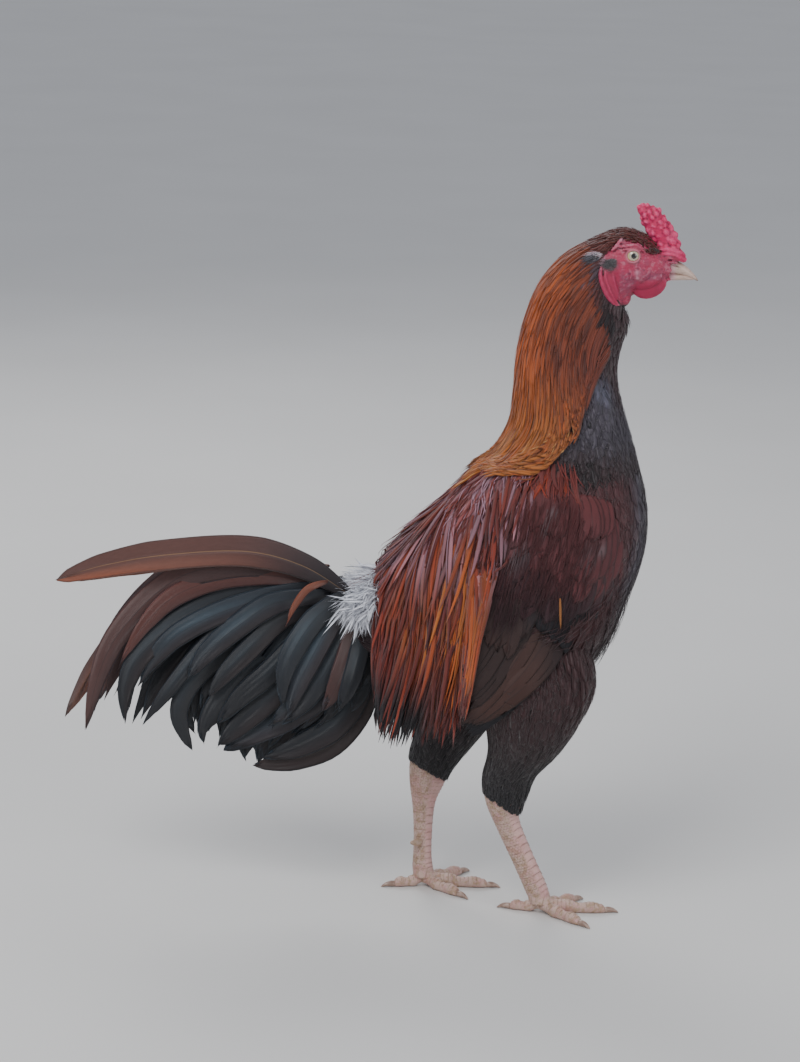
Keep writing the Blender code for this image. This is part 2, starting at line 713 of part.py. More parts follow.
def make_legs(mats, body_cutters):
    """Feathered thighs, scaly shanks and feet with toes, parted across the leg's own line."""
    for side, sign in SIDES.items():
        thigh = new_object(f"thigh_{side}", leg_part(side, THIGH), mats["body_feather"])
        boolean(thigh, body_cutters, "DIFFERENCE")
        new_object(f"shank_{side}", leg_part(side, SHANK), mats["leg_skin"])
        foot = new_object(f"foot_{side}", leg_part(side, ANKLE, floor=0.0), mats["leg_skin"])
        last = ANKLE[1]
        hub = (leg_point(side, last, 0.0) + leg_point(side, last, math.pi)) / 2
        toes = []
        for name, degrees, length, radius in TOES:
            toe, claw = toe_and_claw(hub, -sign * math.radians(degrees), length, radius)
            toes.append(toe)
            new_object(f"claw_{side}_{name}", claw, mats["horn"])
        boolean(foot, toes, "UNION")
        make_spur(side, sign, mats)


def make_spur(side, sign, mats):
    """A short blunt spur on the inner side of the shank, towards the back."""
    root = leg_point(side, 8.15, math.radians(-62.0 * sign), GAP)
    way = Vector((-0.55, -0.8 * sign, 0.22)).normalized()
    path = [root + way * (-0.003 + 0.0145 * s / 3) for s in range(4)]
    spur = new_object(f"spur_{side}", tube(path, (0.0042, 0.0035, 0.0024, 0.0008)), mats["horn"])
    boolean(spur, [leg_part(side, SHANK, GAP)], "DIFFERENCE")


def eye_ball(sign, radius):
    return blob((EYE.x, EYE.y * sign, EYE.z), (radius,) * 3, rings=7, around=12)


def eyelid(sign, upper):
    """One lid: a crescent roll over or under the eye, its ends at the eye's corners."""
    path, radii = [], []
    for i in range(6):
        a = math.radians(-22 + 224 * i / 5) if upper else math.radians(202 + 136 * i / 5)
        x = EYE.x + math.cos(a) * 0.0068 + 0.0004
        z = EYE.z + math.sin(a) * (0.0052 if upper else 0.0056)
        bulge = 0.0050 - 0.0022 * abs(math.cos(a)) ** 2
        path.append(Vector((x, sign * (EYE.y + bulge), z)))
        radii.append(0.0014 + 0.0010 * math.sin(math.pi * i / 5))
    return tube(path, radii, 5)


def brow(sign):
    """The bony ridge over the eye that gives the breed its stern look."""
    path = [Vector((0.1010, sign * 0.0195, 0.5840)), Vector((0.1120, sign * 0.0205, 0.5868)),
            Vector((0.1240, sign * 0.0195, 0.5868)), Vector((0.1380, sign * 0.0150, 0.5825))]
    return tube(path, (0.0012, 0.0036, 0.0036, 0.0012), 6)


def cheek_folds(sign, grow=0.0):
    """Rolls of bare skin on the cheek under the eye."""
    made = []
    for x, z, long, turn in CHEEK_FOLDS:
        radii = (long + grow, CHEEK_FOLD_RADIUS + grow, CHEEK_FOLD_RADIUS + grow)
        made.append(blob((x, sign * CHEEK_FOLD_Y, z), radii, turn, 5, 6))
    return made


def make_head(mats, cutters):
    """Head with lids, brows, folds and the mouth's corners, and the pieces that sit on it."""
    head = new_object("head", core("head"), mats["face_skin"])
    rolls = []
    for sign in SIDES.values():
        rolls += [eyelid(sign, True), eyelid(sign, False), brow(sign), *cheek_folds(sign)]
    boolean(head, rolls, "UNION")
    mouth = tube(
        [MOUTH_CORNER, Vector((BILL_ROOT_X + 0.004, 0, MOUTH_CORNER.z + 0.0006))], (0.0008, 0.0010), 6)
    mouth = ([Vector((p.x, p.y * 26, p.z)) for p in mouth[0]], mouth[1])
    boolean(head, [eye_ball(sign, EYE_RADIUS + GAP) for sign in SIDES.values()] + [mouth], "DIFFERENCE")
    for side, sign in SIDES.items():
        new_object(f"eye_{side}", eye_ball(sign, EYE_RADIUS), mats["eye"])
        near = cutters + cheek_folds(sign, GAP)
        make_wattle(side, sign, mats, near)
        make_lobe(side, sign, mats, near)
        make_ear(side, sign, mats, near)
    make_comb(mats, cutters)


def make_comb(mats, cutters):
    """Pea comb: a low base with three rows of bulbs, highest at the back."""
    base = []
    for i in range(len(COMB_RADII)):
        s = i / (len(COMB_RADII) - 1)
        base.append(COMB_FRONT.lerp(COMB_BACK, s) + Vector((0.002, 0, 0.003)) * math.sin(math.pi * s))
    comb = new_object("comb", tube(base, COMB_RADII, 8), mats["face_skin"])
    away = (COMB_BACK - COMB_FRONT).normalized()
    up = Vector((away.z, 0, -away.x))
    bulbs = []
    for row in (-1, 0, 1):
        count = COMB_BULBS if row == 0 else COMB_BULBS - 1
        for i in range(count):
            s = (i + 0.3) / (count - 0.7)
            r = COMB_BULB_RADIUS * (1.05 if row == 0 else 0.86) * (0.72 + 0.40 * s)
            centre = COMB_FRONT.lerp(COMB_BACK, s) + up * (0.0070 if row == 0 else 0.0048)
            centre += Vector((0, 0, COMB_RISE * s * s))
            centre.y = row * COMB_SIDE_STEP * (0.80 + 0.25 * s)
            tall = 1.15 + (0.65 * s if row == 0 else 0.35 * s)
            bulbs.append(blob(centre, (r, r * 0.90, r * tall), 0.6 * (1 - s), 4, 6))
    boolean(comb, bulbs, "UNION")
    boolean(comb, cutters, "DIFFERENCE")


def make_wattle(side, sign, mats, cutters):
    """A small round wattle of three folds under the corner of the mouth."""
    body = blob((0.1350, 0.0155 * sign, 0.5490), (0.0095, 0.0040, 0.0115), 0.1, 6, 8)
    wattle = new_object(f"wattle_{side}", body, mats["face_skin"])
    folds = [
        blob((0.1405, 0.0165 * sign, 0.5505), (0.0042, 0.0036, 0.0095), 0.3, 4, 6),
        blob((0.1300, 0.0170 * sign, 0.5480), (0.0040, 0.0036, 0.0100), -0.2, 4, 6),
        blob((0.1355, 0.0175 * sign, 0.5435), (0.0062, 0.0034, 0.0050), 0.0, 4, 6),
    ]
    boolean(wattle, folds, "UNION")
    boolean(wattle, cutters, "DIFFERENCE")


def make_lobe(side, sign, mats, cutters):
    """The long ear lobe: hanging folds of skin side by side."""
    body = blob((0.1000, 0.0235 * sign, 0.5500), (0.0042, 0.0042, 0.0150), -0.40, 5, 8)
    lobe = new_object(f"lobe_{side}", body, mats["face_skin"])
    folds = [
        blob((0.1070, 0.0230 * sign, 0.5470), (0.0036, 0.0036, 0.0140), -0.30, 5, 6),
        blob((0.1130, 0.0215 * sign, 0.5450), (0.0032, 0.0032, 0.0110), -0.15, 5, 6),
        blob((0.0945, 0.0230 * sign, 0.5570), (0.0034, 0.0034, 0.0090), -0.50, 4, 6),
    ]
    boolean(lobe, folds, "UNION")
    boolean(lobe, cutters, "DIFFERENCE")


def make_ear(side, sign, mats, cutters):
    """The cup of the ear, with bristle feathers swept back over it."""
    centre = Vector((0.1010, 0.0215 * sign, 0.5725))
    ear = new_object(f"ear_{side}", blob(centre, (0.0066, 0.0046, 0.0056), 0.3, 5, 8), mats["body_feather"])
    hollow = blob(centre + Vector((0.0004, 0.0052 * sign, 0)), (0.0044, 0.0040, 0.0035), 0.3, 4, 6)
    boolean(ear, [hollow, *cutters], "DIFFERENCE")
    bristles = []
    for k in range(3):
        lift = k - 1
        start = centre + Vector((0.0056, 0.0018 * sign, 0.0034 * lift))
        way = Vector((-1, 0.34 * sign, 0.18 * lift - 0.10)).normalized()
        path = [start + way * (0.0125 * s / 2) + Vector((0, 0.0003 * sign * (k % 2), 0)) for s in range(3)]
        bristles.append(vane(path, [Vector((0, sign, 0.2))] * 3, (0.0026, 0.0024, 0.0006), VANE_THICK))
    boolean(ear, bristles, "UNION")


def make_bill(mats, cutters):
    """Upper and lower horn of the bill, with the mouth line between them and slit nostrils."""
    ridge = [Vector((BILL_ROOT_X, 0, 0.5692)), Vector((0.1610, 0, 0.5688)), Vector((0.1690, 0, 0.5660)),
             Vector((0.1745, 0, 0.5618)), BILL_TIP]
    radii = (0.0078, 0.0068, 0.0048, 0.0026, 0.0007)
    upper = new_object("beak_upper", tube(ridge, radii, BILL_SIDES, 0.82), mats["horn"])
    nostrils = []
    for sign in SIDES.values():
        nostrils.append(blob((NOSTRIL.x, NOSTRIL.y * sign, NOSTRIL.z), (0.0026, 0.0018, 0.0008), 0.35, 4, 6))
    boolean(upper, nostrils + cutters, "DIFFERENCE")
    jaw = [Vector((BILL_ROOT_X, 0, 0.5592)), Vector((0.1600, 0, 0.5594)), Vector((0.1670, 0, 0.5596)),
           Vector((0.1720, 0, 0.5592))]
    jaw_radii = (0.0066, 0.0060, 0.0042, 0.0014)
    lower = new_object("beak_lower", tube(jaw, jaw_radii, BILL_SIDES, 0.75), mats["horn"])
    ends = [ridge[0] - Vector((0.002, 0, 0)), *ridge[1:4], BILL_TIP + Vector((0.002, 0, -0.0014))]
    clear = tube(ends, [radius + 2 * GAP for radius in radii], BILL_SIDES, 0.82)
    boolean(lower, [clear, *cutters], "DIFFERENCE")


def make_wings(mats, cover, cutters, rng):
    """Folded wings: a padded bow with tiers of vanes, lying on the sides of the body."""
    bow = wing_pad(cover, 0.0, WING_BOW_DEPTH, 0.0006)
    vanes = wing_vanes(cover, rng)
    for side, sign in SIDES.items():
        wing = new_object(f"wing_{side}", flipped(bow, sign), mats["wing_feather"])
        boolean(wing, [flipped(piece, sign) for piece in vanes], "UNION")
        boolean(wing, cutters, "DIFFERENCE")


def place_origin():
    """Moves everything so that the origin is at the middle of the footprint, on the floor."""
    nodes = [obj for obj in bpy.context.scene.objects if obj.type == "MESH"]
    low, high = Vector((9, 9, 9)), Vector((-9, -9, -9))
    for obj in nodes:
        for v in obj.data.vertices:
            low = Vector(map(min, low, v.co))
            high = Vector(map(max, high, v.co))
    shift = Vector((-(low.x + high.x) / 2, -(low.y + high.y) / 2, -low.z))
    for obj in nodes:
        obj.data.transform(Matrix.Translation(shift))
        smooth(obj)


def main():
    rng = random.Random(SEED)
    clear_scene()
    mats = make_materials()
    thighs = [leg_part(side, THIGH, THIGH_COVER, fine=4) for side in SIDES]
    body_cutters = [core(name, GAP) for name in ("neck", "torso", "tail")]
    thigh_cutters = [leg_part(side, THIGH, GAP) for side in SIDES]

    make_head(mats, [core("head", GAP), core("neck", GAP)])
    make_bill(mats, [core("head", GAP)])
    make_legs(mats, body_cutters)

    both_ways = [flipped(thigh, sign) for thigh in thighs for sign in SIDES.values()]
    side_cover = tree(core("torso", fine=4), *both_ways)
    make_wings(mats, side_cover, body_cutters + thigh_cutters, rng)
    wing_cover = wing_pad(side_cover, WING_COVER_GROWTH, WING_COVER_DEPTH, 0.0002, 12, 60)
    wing_covers = [flipped(wing_cover, sign) for sign in SIDES.values()]

    make_tail(mats)
    torso = new_object("torso", core("torso"), mats["body_feather"])
    behind = blob(*TAIL_COVER, 0.0, 16, 24)
    under = tree(core("torso", fine=4), core("tail", fine=4), *thighs, *wing_covers, behind)
    others = tree(*made_so_far("wing", "tail", "sickle"), *thigh_cutters, core("tail", GAP), core("neck", GAP))
    vanes = []
    for tier in BACK_TIERS:
        vanes += combed_tier(under, others, tier, back_way, rng)
    boolean(torso, vanes, "UNION")

    neck = new_object("neck", core("neck"), mats["hackle"])
    under = tree(core("neck", fine=4), core("torso", HACKLE_STAND, 4), *wing_covers)
    others = tree(*made_so_far("wing", "torso", "lobe", "ear"), core("head", GAP), core("torso", GAP))
    vanes = []
    for tier in HACKLE_TIERS:
        vanes += combed_tier(under, others, tier, hackle_way, rng)
    boolean(neck, vanes, "UNION")

    place_origin()


main()
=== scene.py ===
"""Looks of the aseel cock: bare skin, horn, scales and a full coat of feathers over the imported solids.

Sizes are in metres in the body's own frame, +X the way the bird faces, and every piece is moved by
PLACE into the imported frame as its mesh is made. A place on the body or on a leg is a station along its
loft, counted in rows, and an angle from its back line.
"""
import math

import bpy
import numpy as np
from mathutils import Matrix, Vector, noise
from mathutils.bvhtree import BVHTree
from mathutils.kdtree import KDTree


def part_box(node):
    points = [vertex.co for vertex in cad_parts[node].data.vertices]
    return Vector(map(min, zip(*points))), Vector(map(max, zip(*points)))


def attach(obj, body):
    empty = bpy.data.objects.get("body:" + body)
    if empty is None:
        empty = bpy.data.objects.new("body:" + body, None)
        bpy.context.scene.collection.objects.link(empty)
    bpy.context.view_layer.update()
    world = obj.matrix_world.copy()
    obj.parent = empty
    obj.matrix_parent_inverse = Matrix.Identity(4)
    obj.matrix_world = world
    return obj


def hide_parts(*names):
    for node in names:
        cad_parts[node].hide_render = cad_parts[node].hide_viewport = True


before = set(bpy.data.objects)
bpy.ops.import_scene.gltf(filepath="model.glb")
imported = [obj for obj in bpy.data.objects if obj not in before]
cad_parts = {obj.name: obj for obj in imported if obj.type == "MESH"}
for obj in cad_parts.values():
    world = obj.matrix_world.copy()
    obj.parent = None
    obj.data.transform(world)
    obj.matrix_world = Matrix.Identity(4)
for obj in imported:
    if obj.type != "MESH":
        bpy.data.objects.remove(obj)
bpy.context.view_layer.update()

# Driving sizes, the same as the solids'
EYE = np.array((0.1215, 0.0172, 0.5775))
EYE_RADIUS = 0.0062

# Rows down the body's loft: x and z of the back line, x and z of the front line, half width
BODY = (
    (0.1530, 0.5770, 0.1515, 0.5545, 0.0105),
    (0.1430, 0.5865, 0.1430, 0.5490, 0.0155),
    (0.1280, 0.5950, 0.1300, 0.5450, 0.0200),
    (0.1120, 0.5985, 0.1190, 0.5400, 0.0220),
    (0.0940, 0.5920, 0.1150, 0.5330, 0.0225),
    (0.0750, 0.5815, 0.1155, 0.5240, 0.0240),
    (0.0560, 0.5670, 0.1170, 0.5110, 0.0270),
    (0.0390, 0.5460, 0.1145, 0.4950, 0.0300),
    (0.0290, 0.5190, 0.1135, 0.4800, 0.0315),
    (0.0240, 0.4900, 0.1155, 0.4640, 0.0340),
    (0.0230, 0.4610, 0.1210, 0.4420, 0.0380),
    (0.0200, 0.4300, 0.1280, 0.4170, 0.0460),
    (0.0060, 0.4030, 0.1350, 0.3890, 0.0580),
    (-0.0120, 0.3880, 0.1415, 0.3550, 0.0680),
    (-0.0290, 0.3700, 0.1400, 0.3200, 0.0740),
    (-0.0460, 0.3520, 0.1280, 0.2820, 0.0770),
    (-0.0620, 0.3350, 0.1050, 0.2400, 0.0760),
    (-0.0770, 0.3170, 0.0650, 0.2070, 0.0720),
    (-0.0900, 0.3000, 0.0150, 0.1920, 0.0640),
    (-0.1030, 0.2900, -0.0350, 0.1970, 0.0520),
    (-0.1150, 0.2850, -0.0800, 0.2150, 0.0380),
    (-0.1280, 0.2820, -0.1120, 0.2350, 0.0250),
    (-0.1400, 0.2780, -0.1350, 0.2520, 0.0140),
)
BODY_ROWS = np.array([(bx, 0.0, bz, fx, 0.0, fz, half) for bx, bz, fx, fz, half in BODY])

# Last station of the body, the one where the guides for long feathers start, and how deep the core lies
# under the outline where feathers cover it
BODY_END = 22.0
TRUNK_START = 10.0
COAT = 0.006

# Rows down each leg's loft: x and z behind, x and z in front, distance from the middle, half width
LEG = {
    "right": (
        (-0.0050, 0.2700, 0.0850, 0.2620, 0.0360, 0.0260),
        (0.0040, 0.2150, 0.0985, 0.2150, 0.0430, 0.0330),
        (0.0100, 0.1750, 0.0880, 0.1780, 0.0440, 0.0310),
        (0.0130, 0.1500, 0.0720, 0.1500, 0.0410, 0.0250),
        (0.0090, 0.1270, 0.0540, 0.1280, 0.0370, 0.0180),
        (0.0095, 0.1120, 0.0470, 0.1080, 0.0350, 0.0135),
        (0.0125, 0.0980, 0.0430, 0.0950, 0.0340, 0.0115),
        (0.0223, 0.0759, 0.0420, 0.0841, 0.0330, 0.0088),
        (0.0365, 0.0462, 0.0545, 0.0538, 0.0315, 0.0080),
        (0.0480, 0.0205, 0.0665, 0.0275, 0.0300, 0.0090),
        (0.0530, 0.0080, 0.0730, 0.0100, 0.0300, 0.0100),
    ),
    "left": (
        (-0.0500, 0.2700, 0.0450, 0.2620, 0.0360, 0.0260),
        (-0.0500, 0.2150, 0.0420, 0.2150, 0.0430, 0.0330),
        (-0.0470, 0.1750, 0.0300, 0.1720, 0.0440, 0.0310),
        (-0.0480, 0.1480, 0.0120, 0.1450, 0.0410, 0.0250),
        (-0.0540, 0.1240, -0.0050, 0.1240, 0.0370, 0.0180),
        (-0.0550, 0.1100, -0.0170, 0.1080, 0.0350, 0.0135),
        (-0.0545, 0.0960, -0.0235, 0.0940, 0.0340, 0.0115),
        (-0.0525, 0.0780, -0.0300, 0.0770, 0.0330, 0.0088),
        (-0.0505, 0.0460, -0.0320, 0.0460, 0.0315, 0.0080),
        (-0.0505, 0.0220, -0.0315, 0.0220, 0.0300, 0.0090),
        (-0.0490, 0.0090, -0.0290, 0.0090, 0.0300, 0.0100),
    ),
}
SIDES = {"right": -1.0, "left": 1.0}
LEG_ROWS = {
    side: np.array([(bx, y * SIDES[side], bz, fx, y * SIDES[side], fz, half)
                    for bx, bz, fx, fz, y, half in rows])
    for side, rows in LEG.items()
}

# Stations of the leg where the bare shank starts and where the foot ends it
SHANK_START = 5.6
LEG_END = 10.0

# Toes: name, degrees from straight ahead, length, radius at the root
TOES = (
    ("middle", 2.0, 0.056, 0.0064),
    ("inner", 42.0, 0.040, 0.0058),
    ("outer", -44.0, 0.045, 0.0058),
    ("hind", 168.0, 0.027, 0.0050),
)
TOE_END_RADIUS = 0.0040
CLAW_LENGTH = 0.0125

# Every random draw comes from this seed, so each run gives the same bird
SEED = 11
RNG = np.random.default_rng(SEED)

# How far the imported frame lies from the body's own
low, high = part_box("eye_left")
PLACE = (np.array(low) + np.array(high)) / 2 - EYE


def linear(red, green, blue):
    """A colour given as 0 to 255 on screen, as the renderer's own linear values."""
    c = np.array((red, green, blue)) / 255
    return np.where(c < 0.04045, c / 12.92, ((c + 0.055) / 1.055) ** 2.4)


# Colours as they look on screen
PAINT = {name: linear(*on_screen) for name, on_screen in {
    "rust": (176, 84, 36),
    "mahogany": (112, 52, 34),
    "gold": (174, 105, 46),
    "straw": (214, 168, 104),
    "crown": (98, 46, 40),
    "shadow": (34, 26, 30),
    "slate": (92, 92, 108),
    "wine": (74, 34, 36),
    "dark_wine": (52, 28, 32),
    "maroon": (122, 50, 44),
    # painted lilac sheen, the light caught by the barbs of back and saddle
    "lilac_sheen": (192, 152, 170),
    "ember": (168, 62, 34),
    "orange": (188, 92, 36),
    "tar": (24, 22, 26),
    "ash": (120, 116, 120),
    "thigh": (38, 28, 30),
    "tail_black": (24, 26, 31),
    "tail_blue": (35, 40, 47),
    "tail_brown": (72, 47, 44),
    "sickle": (116, 74, 62),
    "down": (240, 242, 250),
    "quill": (45, 31, 29),
    "chocolate": (62, 41, 36),
    # painted blue sheen on the tail's upper webs
    "tail_teal_sheen": (54, 68, 78),
    "tail_rust": (126, 66, 44),
    "face": (168, 44, 78),
    # painted shade in the folds of the bare skin
    "face_fold_shade": (104, 22, 48),
    "face_grey": (116, 66, 88),
    "comb": (192, 30, 84),
    # pink of the comb's paler patches, also its painted highlights
    "comb_pink_and_highlight": (226, 92, 136),
    "pale_skin": (214, 160, 176),
    "wattle": (152, 26, 64),
    "ember_brown": (92, 52, 46),
    "shank": (204, 176, 166),
    "shank_red": (194, 140, 134),
    "shank_brown": (150, 122, 88),
    "horn": (194, 168, 154),
    "horn_dark": (120, 92, 78),
    "iris_pale": (206, 200, 180),
    "iris": (172, 160, 128),
    "iris_rim": (196, 172, 92),
    "iris_brown": (120, 100, 78),
    "pupil": (8, 8, 9),
    "lid_shadow": (70, 30, 36),
}.items()}


def ramp(start, end, value):
    """0 below start, 1 above end, smooth between."""
    f = np.clip((np.asarray(value, float) - start) / (end - start), 0.0, 1.0)
    return f * f * (3 - 2 * f)


def mixed(one, other, share):
    """A value between two, by the share of the other at each point."""
    return one + (other - one) * np.asarray(share)[..., None]


def painted(tone, *coats):
    """A tone with more paints laid over it in turn: each a name or a colour, and its share."""
    tone = PAINT[tone] if isinstance(tone, str) else tone
    for paint, share in coats:
        tone = mixed(tone, PAINT[paint] if isinstance(paint, str) else paint, share)
    return tone


def spot(x, z, place, size, power=2):
    """A soft spot seen from the side: 1 at its middle, falling to 0 around it."""
    return np.exp(-(np.hypot((x - place[0]) / size[0], (z - place[1]) / size[1])) ** power)


def several(size, low, high):
    """Seeded random numbers between two values."""
    return RNG.uniform(low, high, size)


def full_turn(count):
    """Angles evenly round a full turn."""
    return np.linspace(0, math.tau, count, endpoint=False)


def unit(v):
    """Vectors at length one."""
    return v / np.maximum(np.linalg.norm(v, axis=-1, keepdims=True), 1e-9)


def spline(rows, t):
    """The rows' values at each t, by a Catmull-Rom curve through them."""
    last = len(rows) - 1
    t = np.clip(t, 0, last)
    i = np.clip(np.floor(t).astype(int), 0, last - 1)
    f = (t - i)[..., None]
    a, b, c, d = (rows[np.clip(i + k, 0, last)] for k in (-1, 0, 1, 2))
    return 0.5 * (2 * b + (c - a) * f + (2 * a - 5 * b + 4 * c - d) * f ** 2
                  + (3 * b - a - 3 * c + d) * f ** 3)


def surface(rows, t, angle, lift=0.0):
    """Points on a loft, at angles from its back line towards +Y, and lifted off it."""
    t, angle, lift = np.broadcast_arrays(*map(np.asarray, (t, angle, lift)))
    row = spline(rows, t)
    back, front, half = row[..., 0:3], row[..., 3:6], row[..., 6]
    way = back - front
    span = np.linalg.norm(way, axis=-1)
    out = (back + front) / 2 + way * (np.cos(angle) * (span / 2 + lift) / span)[..., None]
    out[..., 1] += np.sin(angle) * (half + lift)
    return out


def body(t, angle, lift=0.0):
    """The body's core, which lies inside the outline under the long feathers."""
    turned = np.abs((np.asarray(angle) + math.pi) % math.tau - math.pi)
    depth = COAT * ramp(5.0, 8.0, t) * (1 - ramp(math.radians(95), math.radians(140), turned))
    return surface(BODY_ROWS, t, angle, lift - depth)


def leg(side):
    """The surface of one leg, called as body is."""
    return lambda t, angle, lift=0.0: surface(LEG_ROWS[side], t, angle, lift)


def outward(shape, t, angle):
    """The surface's own direction out, at each station and angle."""
    step = 0.04
    across = shape(t, angle + step) - shape(t, angle - step)
    along = shape(t + step, angle) - shape(t - step, angle)
    return unit(np.cross(across, along))


def pace(shape, t, angle):
    """Metres along the surface for one station."""
    step = 0.05
    return np.linalg.norm(shape(t + step, angle) - shape(t - step, angle), axis=-1) / (2 * step)


def grain(points, scale, octaves=3):
    """Noise from -1 to 1 at each point; scale is per metre, one number or one for each axis."""
    scaled_points = points * np.asarray(scale)
    return np.array([noise.fractal(Vector(p), 0.6, 2.0, octaves) for p in scaled_points])


def piece(name, points, faces, material, node_names=()):
    """An object from points in the body's frame and faces of three or four corners."""
    mesh = bpy.data.meshes.new(name)
    points = np.asarray(points, float) + PLACE
    mesh.vertices.add(len(points))
    mesh.vertices.foreach_set("co", points.astype(np.float32).ravel())
    sizes = np.concatenate([np.full(len(f), f.shape[1]) for f in faces])
    corners = np.concatenate([f.ravel() for f in faces])
    mesh.loops.add(len(corners))
    mesh.loops.foreach_set("vertex_index", corners.astype(np.int32))
    mesh.polygons.add(len(sizes))
    mesh.polygons.foreach_set("loop_start", (np.cumsum(sizes) - sizes).astype(np.int32))
    mesh.update(calc_edges=True)
    mesh.shade_smooth()
    obj = bpy.data.objects.new(name, mesh)
    bpy.context.scene.collection.objects.link(obj)
    finish_piece(obj, material, node_names)
    return obj


def finish_piece(obj, material, node_names=()):
    """Gives a piece its material and its body, and hides the nodes it stands for."""
    obj.data.materials.clear()
    obj.data.materials.append(material)
    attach(obj, "root")
    if node_names:
        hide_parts(*node_names)


def add_layers(obj, tint, feather=None, bake=None):
    """The tint at each point, and the maps along each feather and over the skin."""
    mesh = obj.data
    colour = mesh.color_attributes.new("tint", "FLOAT_COLOR", "POINT")
    rgba = np.ones((len(mesh.vertices), 4), np.float32)
    rgba[:, :3] = np.clip(tint, 0, 1)
    colour.data.foreach_set("color", rgba.ravel())
    index = np.empty(len(mesh.loops), np.int32)
    mesh.loops.foreach_get("vertex_index", index)
    for name, uv in (("OFBake", bake), ("feather", feather)):
        if uv is not None:
            layer = mesh.uv_layers.new(name=name)
            layer.uv.foreach_set("vector", uv[index].astype(np.float32).ravel())
    if feather is not None:
        mesh.uv_layers["OFBake"].active_render = True


def flat_unwrap(points):
    """A map from above and the side of a bare piece, one half for each side of the bird."""
    low, high = points.min(0), points.max(0)
    span = (high - low).max()
    u = (points[:, 0] - low[0]) / span * 0.49 + 0.5 * (points[:, 1] > 0)
    return np.stack([u, (points[:, 2] - low[2]) / span + points[:, 1] * 0.3], -1)


# Feathers: strips with a raised shaft, each closed below. Profiles give the share of the width at each
# share of the length.
LANCE = ((0.0, 0.45), (0.15, 0.85), (0.4, 1.0), (0.7, 0.80), (0.9, 0.42), (1.0, 0.03))
ROUND = ((0.0, 0.40), (0.2, 0.85), (0.5, 1.0), (0.8, 0.96), (0.93, 0.62), (1.0, 0.12))
BLADE = ((0.0, 0.30), (0.1, 0.70), (0.3, 1.0), (0.75, 0.95), (0.92, 0.62), (1.0, 0.06))
STRAND = ((0.0, 0.8), (0.5, 1.0), (1.0, 0.1))
SABRE = ((0.0, 0.34), (0.1, 0.70), (0.3, 1.0), (0.6, 0.98), (0.78, 0.80), (0.91, 0.48), (1.0, 0.05))

# Metres along a feather are this many times longer on its map
MAP_PER_METRE = 10


class Coat:
    """Gathers feathers of one piece and makes them into one mesh."""

    def __init__(self):
        self.points, self.faces, self.tints, self.maps, self.bakes = [], [], [], [], []
        self.count = 0

    def add(self, path, normal, width, profile, tint, home,
            columns=3, ridge=0.14, droop=0.10, roll=0.0, fringe=0.0):
        """Feathers along paths (feather, station, 3). tint is (feather, station, column, 3)."""
        number, stations = path.shape[:2]
        s = np.linspace(0, 1, stations)
        half = np.asarray(width)[..., None] * np.interp(s, *zip(*profile)) / 2
        along = unit(np.gradient(path, axis=1))
        side = unit(np.cross(normal, along))
        up = np.cross(along, side)
        roll = np.broadcast_to(np.asarray(roll, float), (number,))[:, None, None]
        side, up = side * np.cos(roll) + up * np.sin(roll), up * np.cos(roll) - side * np.sin(roll)
        across = np.linspace(-1, 1, columns)
        lift = ridge * (1 - np.abs(across)) - droop * across ** 2
        points = path[:, :, None] + side[:, :, None] * (half[..., None] * across)[..., None] \
            + up[:, :, None] * (half[..., None] * lift)[..., None]
        if fringe:
            torn = RNG.uniform(-1, 0.25, (number, 1, columns)) * fringe * (s ** 3)[None, :, None]
            points = points + along[:, :, None] * torn[..., None]
        base = self.count + np.arange(number)[:, None, None] * stations * columns
        row = np.arange(stations - 1)[:, None] * columns
        a = base + (row + np.arange(columns))[None]
        b = base + (row + (np.arange(columns) + 1) % columns)[None]
        quads = np.stack([a, a + columns, b + columns, b], -1).reshape(-1, 4)
        fan = np.arange(1, columns - 1)
        start = base[:, 0] + np.zeros(columns - 2, int)
        end = start + (stations - 1) * columns
        caps = np.concatenate([
            np.stack([start, start + fan, start + fan + 1], -1).reshape(-1, 3),
            np.stack([end, end + fan + 1, end + fan], -1).reshape(-1, 3)])
        length = np.linalg.norm(np.diff(path, axis=1), axis=-1).sum(1)
        u = np.broadcast_to((across + 1) / 2, (number, stations, columns))
        v = np.broadcast_to((s * length[:, None])[..., None] * MAP_PER_METRE, u.shape)
        patch = np.stack([u - 0.5, np.broadcast_to(s[:, None], u.shape)], -1) * 0.003
        self.points.append(points.reshape(-1, 3))
        self.faces.append((quads, caps))
        self.tints.append(np.broadcast_to(tint, (number, stations, columns, 3)).reshape(-1, 3))
        self.maps.append(np.stack([u, v], -1).reshape(-1, 2))
        self.bakes.append((np.asarray(home)[:, None, None] + patch).reshape(-1, 2))
        self.count += number * stations * columns

    def make(self, name, material, node_names=(), slot=None):
        """The piece that the gathered feathers form."""
        faces = [np.concatenate(kind) for kind in zip(*self.faces)]
        obj = piece(name, np.concatenate(self.points), faces, material, node_names)
        add_layers(obj, np.concatenate(self.tints), np.concatenate(self.maps), np.concatenate(self.bakes))


def scatter(shape, start, end, row_step, across_step, first, last):
    """Roots in staggered rows from station start to end, both sides, at angles from first(t) to last(t)."""
    ts, angles, row, t = [], [], 0, start
    while t < end:
        low, high = first(t), last(t)
        for sign in (-1, 1):
            if high <= low:
                continue
            ring = shape(np.full(40, t), np.linspace(low, high, 40) * sign)
            span = np.linalg.norm(np.diff(ring, axis=0), axis=-1).sum()
            count = max(1, int(span / across_step))
            place = (np.arange(count) + 0.25 + 0.5 * (row % 2)) / count
            ts.append(t + several(count, -0.5, 0.5) * row_step
                      / pace(shape, np.array(t), np.array(low * sign)) * 0.7)
            angles.append(sign * (low + (high - low) * (place + several(count, -0.3, 0.3) / count)))
        t += row_step / float(pace(shape, np.array(t), np.array((low + high) / 2)))
        row += 1
    return np.concatenate(ts), np.concatenate(angles)


